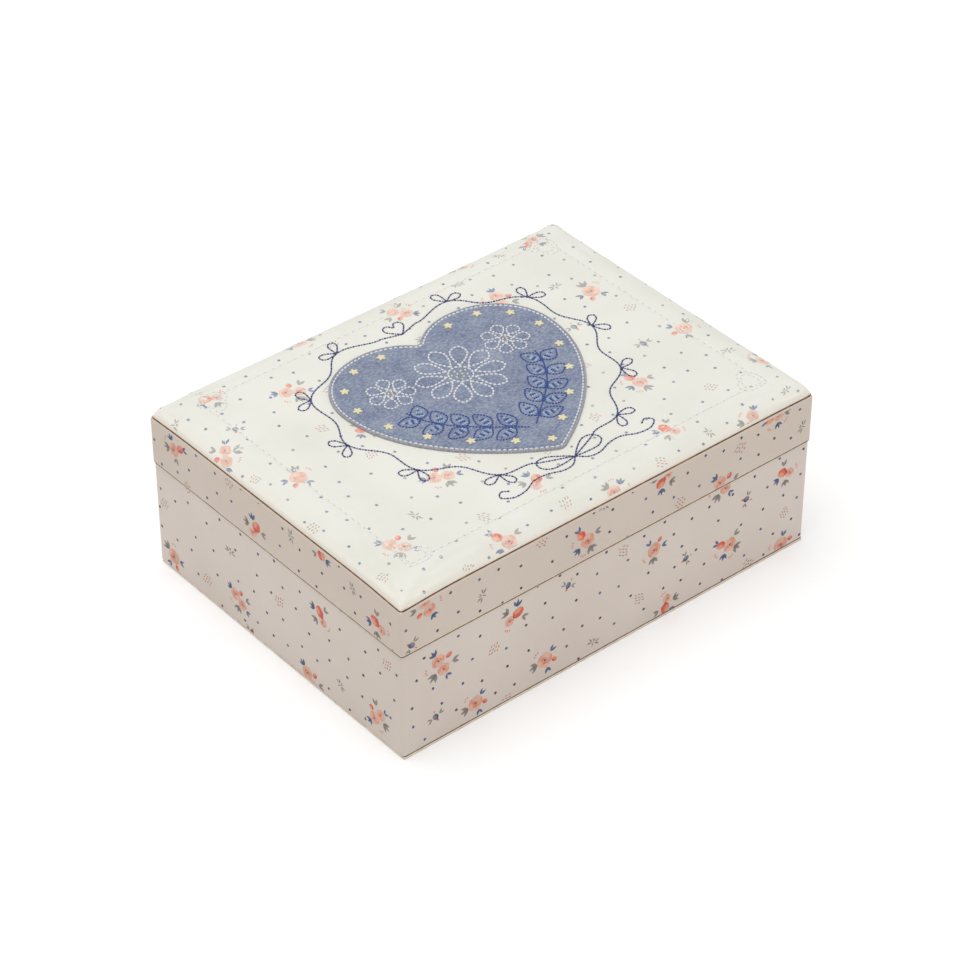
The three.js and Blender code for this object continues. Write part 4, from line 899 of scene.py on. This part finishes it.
def inkBlob(bm, ink, at, long, wide, turn, colour, layer, taper=0.0, sides=10, wobble=0.07):
    made = bmesh.ops.create_circle(bm, cap_ends=True, radius=1, segments=sides)["verts"]
    red, green, blue, _ = inks[colour]
    level = 1 + rng.uniform(-0.08, 0.1)
    cosine, sine = cos(turn), sin(turn)
    for vertex in made:
        x, y = vertex.co.x, vertex.co.y
        y *= 1 - taper * abs(x) ** 1.4
        swell = 1 + rng.uniform(-wobble, wobble)
        x, y = x * long / 2 * swell, y * wide / 2 * swell
        vertex.co = Vector((at[0] + x * cosine - y * sine, at[1] + x * sine + y * cosine, layer))
        vertex[ink] = (red * level, green * level, blue * level, 1)


# every part of a posy is a list of strokes: x, y, length, width, angle, ink, layer, taper

def stroke(x, y, angle, reach, long, wide, turn, ink, layer, taper):
    # one that lies reach out from x, y along the angle, turned further by turn
    way = radians(angle)
    return x + reach * cos(way), y + reach * sin(way), long, wide, angle + turn, ink, layer, taper


def rose(x, y, size, turn=0):
    petals = [stroke(x, y, turn + 72 * i, 1.4 * size, 3.3 * size, 2.8 * size, 90, ink, 1 + i, 0.1)
              for i, ink in enumerate(("peach", "blush", "blush", "peach", "blush"))]
    folds = [stroke(x, y, turn + 120 * i, 1.1 * size, 1.9 * size, 0.6 * size, 95, ink, 7, 0.5)
             for i, ink in enumerate(("apricot", "coral", "blush"))]
    middle = (x, y, 2.5 * size, 2.3 * size, turn, "peach", 6, 0)
    return petals + [middle] + folds + [(x, y, 1.05 * size, 0.9 * size, 0, "violet", 8, 0)]


def bud(x, y, size, turn, dark="coral", deep="red", pale="peach"):
    return [(x, y, 3.3 * size, 2.7 * size, turn, dark, 1, 0.2),
            stroke(x, y, turn + 60, 0.7 * size, 2.3 * size, 1.3 * size, -50, pale, 2, 0.3),
            stroke(x, y, turn - 120, 0.8 * size, 1.6 * size, 0.6 * size, 95, deep, 3, 0.4)]


def leaves(x, y, way, ink, long=3.5, wide=1.45, fan=(-36, 0, 36)):
    return [stroke(x, y, way + spread, long * 0.56, long * (1 if spread else 1.1), wide, 0, ink, 0, 0.75)
            for spread in fan]


def dashes(x, y, way):
    return [stroke(x, y, way + spread, 1.6, 1.0, 0.42, 0, "coral", 0, 0.3) for spread in (-34, 0, 34)]


posies = [
    leaves(-2.4, 2.6, 135, "grey") + leaves(2.0, 2.8, 62, "slate", 2.9, 1.2)
    + leaves(4.0, -3.2, -38, "slate", 2.8, 1.2, (-30, 22))
    + leaves(-3.2, -2.2, 212, "grey", 2.9, 1.2, (-34, 12)) + dashes(-0.4, 4.8, 95) + dashes(4.6, 0.8, 12)
    + rose(-0.9, 0.5, 1.08, 20) + bud(2.9, -2.1, 1.3, -30),
    leaves(-4.6, 2.0, 165, "slate", 2.8, 1.2) + leaves(0.2, -3.2, -95, "grey")
    + leaves(3.8, 2.2, 48, "grey", 3.1, 1.3, (-30, 15)) + leaves(4.6, -2.2, -18, "slate", 2.6, 1.1, (-26, 26))
    + dashes(-3.6, -3.0, 228) + rose(-2.3, 0.9, 0.98, 50) + rose(2.2, -1.0, 0.88, 5) + bud(0.8, 3.9, 0.8, 70),
    leaves(-2.6, 1.6, 150, "grey", 3.0, 1.25) + leaves(0.8, 2.8, 82, "slate", 2.9, 1.2)
    + leaves(3.0, -1.8, -32, "grey", 2.8, 1.2, (-24, 22)) + dashes(-2.4, -3.8, 246) + bud(1.2, 0.3, 1.5, 25)
    + rose(-2.1, -1.6, 0.72, 10),
    leaves(-3.4, 0.4, 172, "slate", 2.8, 1.2, (-30, 18)) + leaves(1.2, 3.0, 78, "grey")
    + leaves(1.6, -3.2, -72, "slate", 2.8, 1.15, (-24, 24)) + dashes(4.4, 1.4, 20) + rose(0.3, 0, 1.2, 30)
    + bud(-3.0, -3.2, 0.75, 215),
]
seeds = ((-2.3, -1.3), (-1.2, -1.5), (0.1, -1.2), (1.3, -1.6), (-1.9, 0.2), (-0.6, 0), (0.8, 0.3),
         (2.0, -0.1), (-1.2, 1.6), (0.1, 1.5), (1.4, 1.8))
sprigs = [
    bud(0, 0, 0.95, 50, "slate", "navy", "grey") + leaves(-1.0, 1.0, 130, "grey", 2.4, 0.8, (-30, 22))
    + leaves(1.2, -1.0, -40, "grey", 2.2, 0.8, (-24, 24))
    + [(-1.2, -1.4, 1.7, 0.9, 45, "coral", 1, 0.4), (2.1, 1.6, 1.4, 0.55, 40, "coral", 0, 0.5)],
    leaves(-0.5, 0.2, 165, "grey", 2.5, 0.7, (-24, 24)) + leaves(0.5, 0.2, 15, "grey", 2.5, 0.7, (-24, 24))
    + leaves(0, 0.6, 92, "grey", 1.6, 0.5, (-22, 22)) + [(0, -0.5, 2.0, 0.55, 90, "grey", 1, 0.4)],
    [(x, y, 1.2, 0.5, 66 + 9 * x, "grey" if i % 3 else "coral", 0, 0.3) for i, (x, y) in enumerate(seeds)],
]


def inkMotif(bm, ink, at, turn, size, strokes):  # strokes are in mm about the motif's middle
    cosine, sine = cos(turn) * size * mm, sin(turn) * size * mm
    for x, y, long, wide, angle, colour, layer, taper in strokes:
        spot = (at[0] + x * cosine - y * sine, at[1] + x * sine + y * cosine)
        inkBlob(bm, ink, spot, long * size * mm, wide * size * mm, turn + radians(angle), colour, layer,
                taper, 10 if long > 2 else 7)


def scatter(low, high, edge, gap, taken, tries=1500):
    # spots that keep a gap from each other; taken lists spots already used, each with the room it needs
    found = []
    for _ in range(tries):
        spot = Vector((rng.uniform(low[0] + edge, high[0] - edge), rng.uniform(low[1], high[1])))
        free = all((spot - other).length > room for other, room in taken)
        if free and all((spot - other).length > gap for other in found):
            found.append(spot)
    return found


def layPrint(low, high, edge, dotInks):
    # one flat sheet of print between two corners, lying with its top to the back;
    # no posy is centred nearer than edge to its sides
    bm = bmesh.new()
    ink = bm.verts.layers.float_color.new("ink")
    posySpots = scatter(low, high, edge, posyPrint.posyGap, [])
    taken = [(spot, posyPrint.sprigRoom) for spot in posySpots]
    sprigSpots = scatter(low, high, edge * 0.6, posyPrint.sprigGap, taken)
    taken = [(spot, posyPrint.posyDotRoom) for spot in posySpots]
    taken += [(spot, posyPrint.sprigDotRoom) for spot in sprigSpots]
    dotSpots = scatter(low, high, 2 * mm, posyPrint.dotGap, taken, 3000)
    for spots, motifs, sizes in ((posySpots, posies, (1.0, 1.14)),
                                 (sprigSpots, sprigs[:1] + sprigs[1:] * 2, (0.95, 1.1))):
        for spot in spots:
            inkMotif(bm, ink, spot, rng.uniform(0, 2 * pi), rng.uniform(*sizes), rng.choice(motifs))
    dot = posyPrint.dot
    for spot in dotSpots:
        inkBlob(bm, ink, spot, dot * 1.1, dot, rng.uniform(0, 3), rng.choice(dotInks), layer=0, sides=8)
    return bm


def inkLift(layer):
    return posyPrint.lift + layer * posyPrint.layer


# walls: the print runs on over the seam, and is cut where the lid meets the base
# each wall has the way it faces and the way its print runs
walls = [(outwards, up.cross(outwards)) for outwards in (-toBack, toRight, toBack, -toRight)]
wallSheets = [layPrint((0, 0), (2 * (lidHigh.x if along.x else lidHigh.y), lidHigh.z), posyPrint.wallEdge,
                       posyPrint.wallDots) for _, along in walls]
for name, body, low, high, outer in (
        ("basePrint", "base", caseLow.z + 0.35 * mm, caseHigh.z - 0.5 * mm, caseHigh),
        ("lidPrint", "lid", lidLow.z + 0.35 * mm, lidHigh.z - caseBox.lidRim, lidHigh)):
    whole = bmesh.new()
    whole.verts.layers.float_color.new("ink")
    for sheet, (outwards, along) in zip(wallSheets, walls):
        part = sheet.copy()
        cutAlong(part, toBack * low, toBack, True)
        cutAlong(part, toBack * high, -toBack, True)
        corner = (outwards - along) * lidHigh
        drop = abs(outwards.dot(lidHigh - outer))
        for vertex in part.verts:
            u, v, layer = vertex.co
            vertex.co = corner + along * u + up * v + outwards * (inkLift(layer) - drop)
            if body == "lid":
                settle(vertex.co)
        # nothing is printed over the arbor's bore
        clear = caseBox.arborHole + 0.5 * mm
        overBore = [f for f in part.faces if any((v.co - arborAxis).length < clear for v in f.verts)]
        bmesh.ops.delete(part, geom=overBore, context="FACES")
        flat = bpy.data.meshes.new("flat")
        bmesh.ops.recalc_face_normals(part, faces=part.faces)
        for face in part.faces:
            if face.normal.dot(outwards) < 0:
                face.normal_flip()
        part.to_mesh(flat)
        part.free()
        whole.from_mesh(flat)
        bpy.data.meshes.remove(flat)
    fit(makePiece(whole, name, coverInk, closed=False, sharpAngle=0), body, "printed_cover")
for sheet in wallSheets:
    sheet.free()

# top: the same print, laid over the pad and down its rolled edge
reachX, reachY = [side - pad.roll + pad.roll * pi / 2 - 0.5 * mm for side in padHigh.xy]
bm = layPrint((-reachX, -reachY), (reachX, reachY), 0, posyPrint.topDots)
for axis, reach in ((toRight, reachX), (toBack, reachY)):
    cutAlong(bm, axis * reach, -axis, True)
    cutAlong(bm, axis * -reach, axis, True)
    for step in range(10):  # scored, so that it can bend down the rolled edge
        for side in (-1, 1):
            cutAlong(bm, axis * side * (reach - step * 0.8 * mm), axis)
for vertex in bm.verts:
    layer = vertex.co.z
    point, normal = onPad(vertex.co)
    vertex.co = point + normal * (inkLift(layer) + 0.01 * mm)
for face in bm.faces:
    face.normal_update()
    if face.normal.z < 0 and face.calc_center_median().z > padLow.z + 2 * mm:
        face.normal_flip()
fit(makePiece(bm, "topPrint", clothInk, closed=False, sharpAngle=0), "lid", "padded_cloth")
print("print laid")


# Tray, linings and ring rolls

suedeEdges = {
    "base": {"floor_lining": 0.2, "divider_back": 0.6, "divider_cross": 0.6, "divider_centre": 0.6,
             "movement_wall_left": 0.5, "movement_wall_right": 0.5, "movement_cover": 0.5},
    "lid": {"lid_lining": 0.3, "mirror_frame": 0.8, "lid_striker": 0.6}}
for body, bevels in suedeEdges.items():
    for node, bevel in bevels.items():
        softenNode(node, blueSuede, bevel * mm, body, "suede_lining", 3)
softenNode("mirror", mirrorFinish, 0.35 * mm, "lid", "mirror_glass", 3, "mirrorPane")
softenNode("movement_window", paneFinish, 0.12 * mm, "base", "clear_pane", name="windowPane")
dress(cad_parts["base_floor"].data, coverFinish)

rollPad = sized({"pressure": 6}, voxel=1.6, swell=0.45, start=0.35, ends=0.9, crease=0.22)
firstLow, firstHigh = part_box("ring_roll_1")
bm = bmesh.new()
shrink = Vector((rollPad.start,) * 3)
made = bmesh.ops.create_cube(bm, size=1)["verts"]
bmesh.ops.scale(bm, vec=firstHigh - firstLow - 2 * shrink, verts=made)
bmesh.ops.translate(bm, vec=(firstLow + firstHigh) / 2, verts=made)
topEdges = [e for e in bm.edges if all(v.co.z > firstHigh.z - 1 * mm for v in e.verts)
            and abs(e.verts[0].co.x - e.verts[1].co.x) > 1 * mm]
softBevel(bm, topEdges, (firstHigh.y - firstLow.y) / 2 - shrink.y - 0.2 * mm, 8)
ends = [e for e in bm.edges if e.calc_face_angle(0) > nearlySquare]
softBevel(bm, ends, rollPad.ends, 2)
firstRoll = makePiece(bm, "ringRoll1", rollSuede, sharpAngle=0)
modify(firstRoll, "REMESH", mode="VOXEL", voxel_size=rollPad.voxel)
puffUp(firstRoll, lambda spot: spot.z < firstLow.z + 2 * mm, rollPad.swell, rollPad.pressure)
modify(firstRoll, "SUBSURF", levels=1, render_levels=1)
rollShape = firstRoll.data
for index in range(4):
    node = f"ring_roll_{index + 1}"
    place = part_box(node)[0] - firstLow
    mesh = rollShape.copy()
    for vertex in mesh.vertices:
        x, y, z = vertex.co
        fromEnd = min(x - firstLow.x, firstHigh.x - x)
        if z > firstLow.z + 6 * mm:  # small creases, deeper towards the ends
            pucker = noise.noise(Vector((x / (30 * mm) + index * 7, y / (4 * mm), z / (5 * mm))))
            vertex.co.z -= rollPad.crease * (0.5 + 0.5 * pucker) * (1 + 2 * exp(-fromEnd / (4 * mm)))
        vertex.co += place
    roll = linked(camelName(node), mesh) if index else firstRoll
    roll.data = mesh
    dress(mesh, rollSuede)
    mesh.shade_smooth()
    fit(roll, "base", "suede_lining", node)
print("tray lined")


# Hinges, key and movement

for hand in ("left", "right"):
    softenNode(f"hinge_{hand}_base_leaf", brass, 0.14 * mm, "base", "brass")
    softenNode(f"hinge_{hand}_lid_leaf", brass, 0.14 * mm, "lid", "brass")
    softenNode(f"hinge_{hand}_pin", brass, 0.12 * mm, "base", "brass")
    for body in ("base", "lid"):
        for number in (1, 2):
            softenNode(f"hinge_{hand}_{body}_screw_{number}", brass, 0.08 * mm, body, "brass")
softenNode("winding_key", brass, 0.3 * mm, "key", "brass", 3)
softenNode("key_escutcheon", brass, 0.2 * mm, "base", "brass", 3)
softenNode("bedplate", castZinc, 0.35 * mm, "base", "cast_zinc", name="bedplate.cast")
softenNode("spring_housing", steel, 0.25 * mm, "base", "steel")
for node in ("movement_screw_left", "movement_screw_right", "comb_screw_1", "comb_screw_2"):
    softenNode(node, steel, 0.12 * mm, "base", "steel")
# the fine parts of the movement are shown as they are in the CAD
for node in ("mainspring", "winding_arbor", "clutch_spring", "cylinder_arbor", "cylinder_bearing", "comb",
             "governor_frame", "stop_plunger", "stop_spring"):
    dress(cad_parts[node].data, steel)
for node in ("drive_wheel", "music_cylinder", "cylinder_wheel", "governor_wheel", "fly"):
    dress(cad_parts[node].data, brass)
print("hardware finished")


# Stage, light and camera

stage = SimpleNamespace(floor=4.0, white=0.82, lift=0.3, near=0.5, far=0.95)


def splitRays(tree, lighting, seen):  # one shader lights the scene, the other is what is seen of it
    rays = addNode(tree, "LightPath").outputs
    some = addUp(addUp(rays["Is Camera Ray"], rays["Is Glossy Ray"]), rays["Is Transmission Ray"])
    direct = addUp(some, 1.0, "MINIMUM")
    return addNode(tree, "MixShader", {0: direct, 1: lighting.outputs[0], 2: seen.outputs[0]}).outputs[0]


bm = bmesh.new()
bmesh.ops.create_grid(bm, x_segments=2, y_segments=2, size=stage.floor)
bmesh.ops.translate(bm, vec=(0, 0, cadLow.z - 0.05 * mm), verts=bm.verts)
floorFinish, place = startFinish("paleFloor", Roughness=0.9, Specular_IOR_Level=0.1)
tree = floorFinish.node_tree
floorTone = speckle(place, 0.4, 2)
painted(floorFinish, shade(floorTone, {0.3: stage.white, 0.7: stage.white + 0.01}))
away = addNode(tree, "VectorMath", {0: place}, operation="LENGTH").outputs["Value"]
whiter = shade(away, {stage.near: stage.lift, stage.far: 1})
glow = addNode(tree, "Emission", {"Color": (1, 1, 1, 1), "Strength": whiter})
black = addNode(tree, "Emission", {"Strength": 0.0})
shader = tree.nodes["Principled BSDF"].outputs[0]
both = addNode(tree, "AddShader", {0: shader, 1: splitRays(tree, black, glow)})
tree.links.new(both.outputs[0], tree.nodes["Material Output"].inputs["Surface"])
floor = makePiece(bm, "floor", floorFinish, closed=False, sharpAngle=0)
floor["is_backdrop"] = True

world = bpy.data.worlds.new("studio")
bpy.context.scene.world = world
world.use_nodes = True
tree = world.node_tree
light = SimpleNamespace(sky=0.56, skyColour=(1, 1, 1, 1), key=10.6, fill=2.6)
back = tree.nodes["Background"]
back.inputs["Color"].default_value = light.skyColour
back.inputs["Strength"].default_value = light.sky
whiteBack = addNode(tree, "Background", {"Color": (1, 1, 1, 1), "Strength": 1.0})
tree.links.new(splitRays(tree, back, whiteBack), tree.nodes["World Output"].inputs["Surface"])


def addLamp(name, spot, size, power, aim=Vector((0, 0, 0.05))):
    lamp = bpy.data.lights.new(name, "AREA")
    lamp.shape = "DISK"
    lamp.size = size
    lamp.energy = power
    holder = linked(name, lamp)
    holder.location = spot
    holder.rotation_euler = (aim - Vector(spot)).to_track_quat("-Z", "Y").to_euler()


addLamp("overheadSoftbox", (-0.25, 0.15, 1.5), 1.4, light.key)
addLamp("frontFill", (0.2, -1.7, 0.5), 1.2, light.fill)

view = SimpleNamespace(azimuth=-39.88, elevation=37.54, distance=1.29, lens=126.8,
                       aim=Vector((-0.0015, -0.0001, 0.0351)))
azimuth, elevation = radians(view.azimuth), radians(view.elevation)
level = cos(elevation)
backwards = Vector((sin(azimuth) * level, -cos(azimuth) * level, sin(elevation)))
lens = bpy.data.cameras.new("camera")
lens.lens = view.lens
lens.sensor_width = 36
lens.clip_start, lens.clip_end = 0.05, 20
camera = linked("camera", lens)
camera.location = view.aim + backwards * view.distance
camera.rotation_mode = "QUATERNION"
camera.rotation_quaternion = (-backwards).to_track_quat("-Z", "Y")
bpy.context.scene.camera = camera
bpy.context.scene.view_settings.view_transform = "Standard"
print("stage set")

low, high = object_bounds()
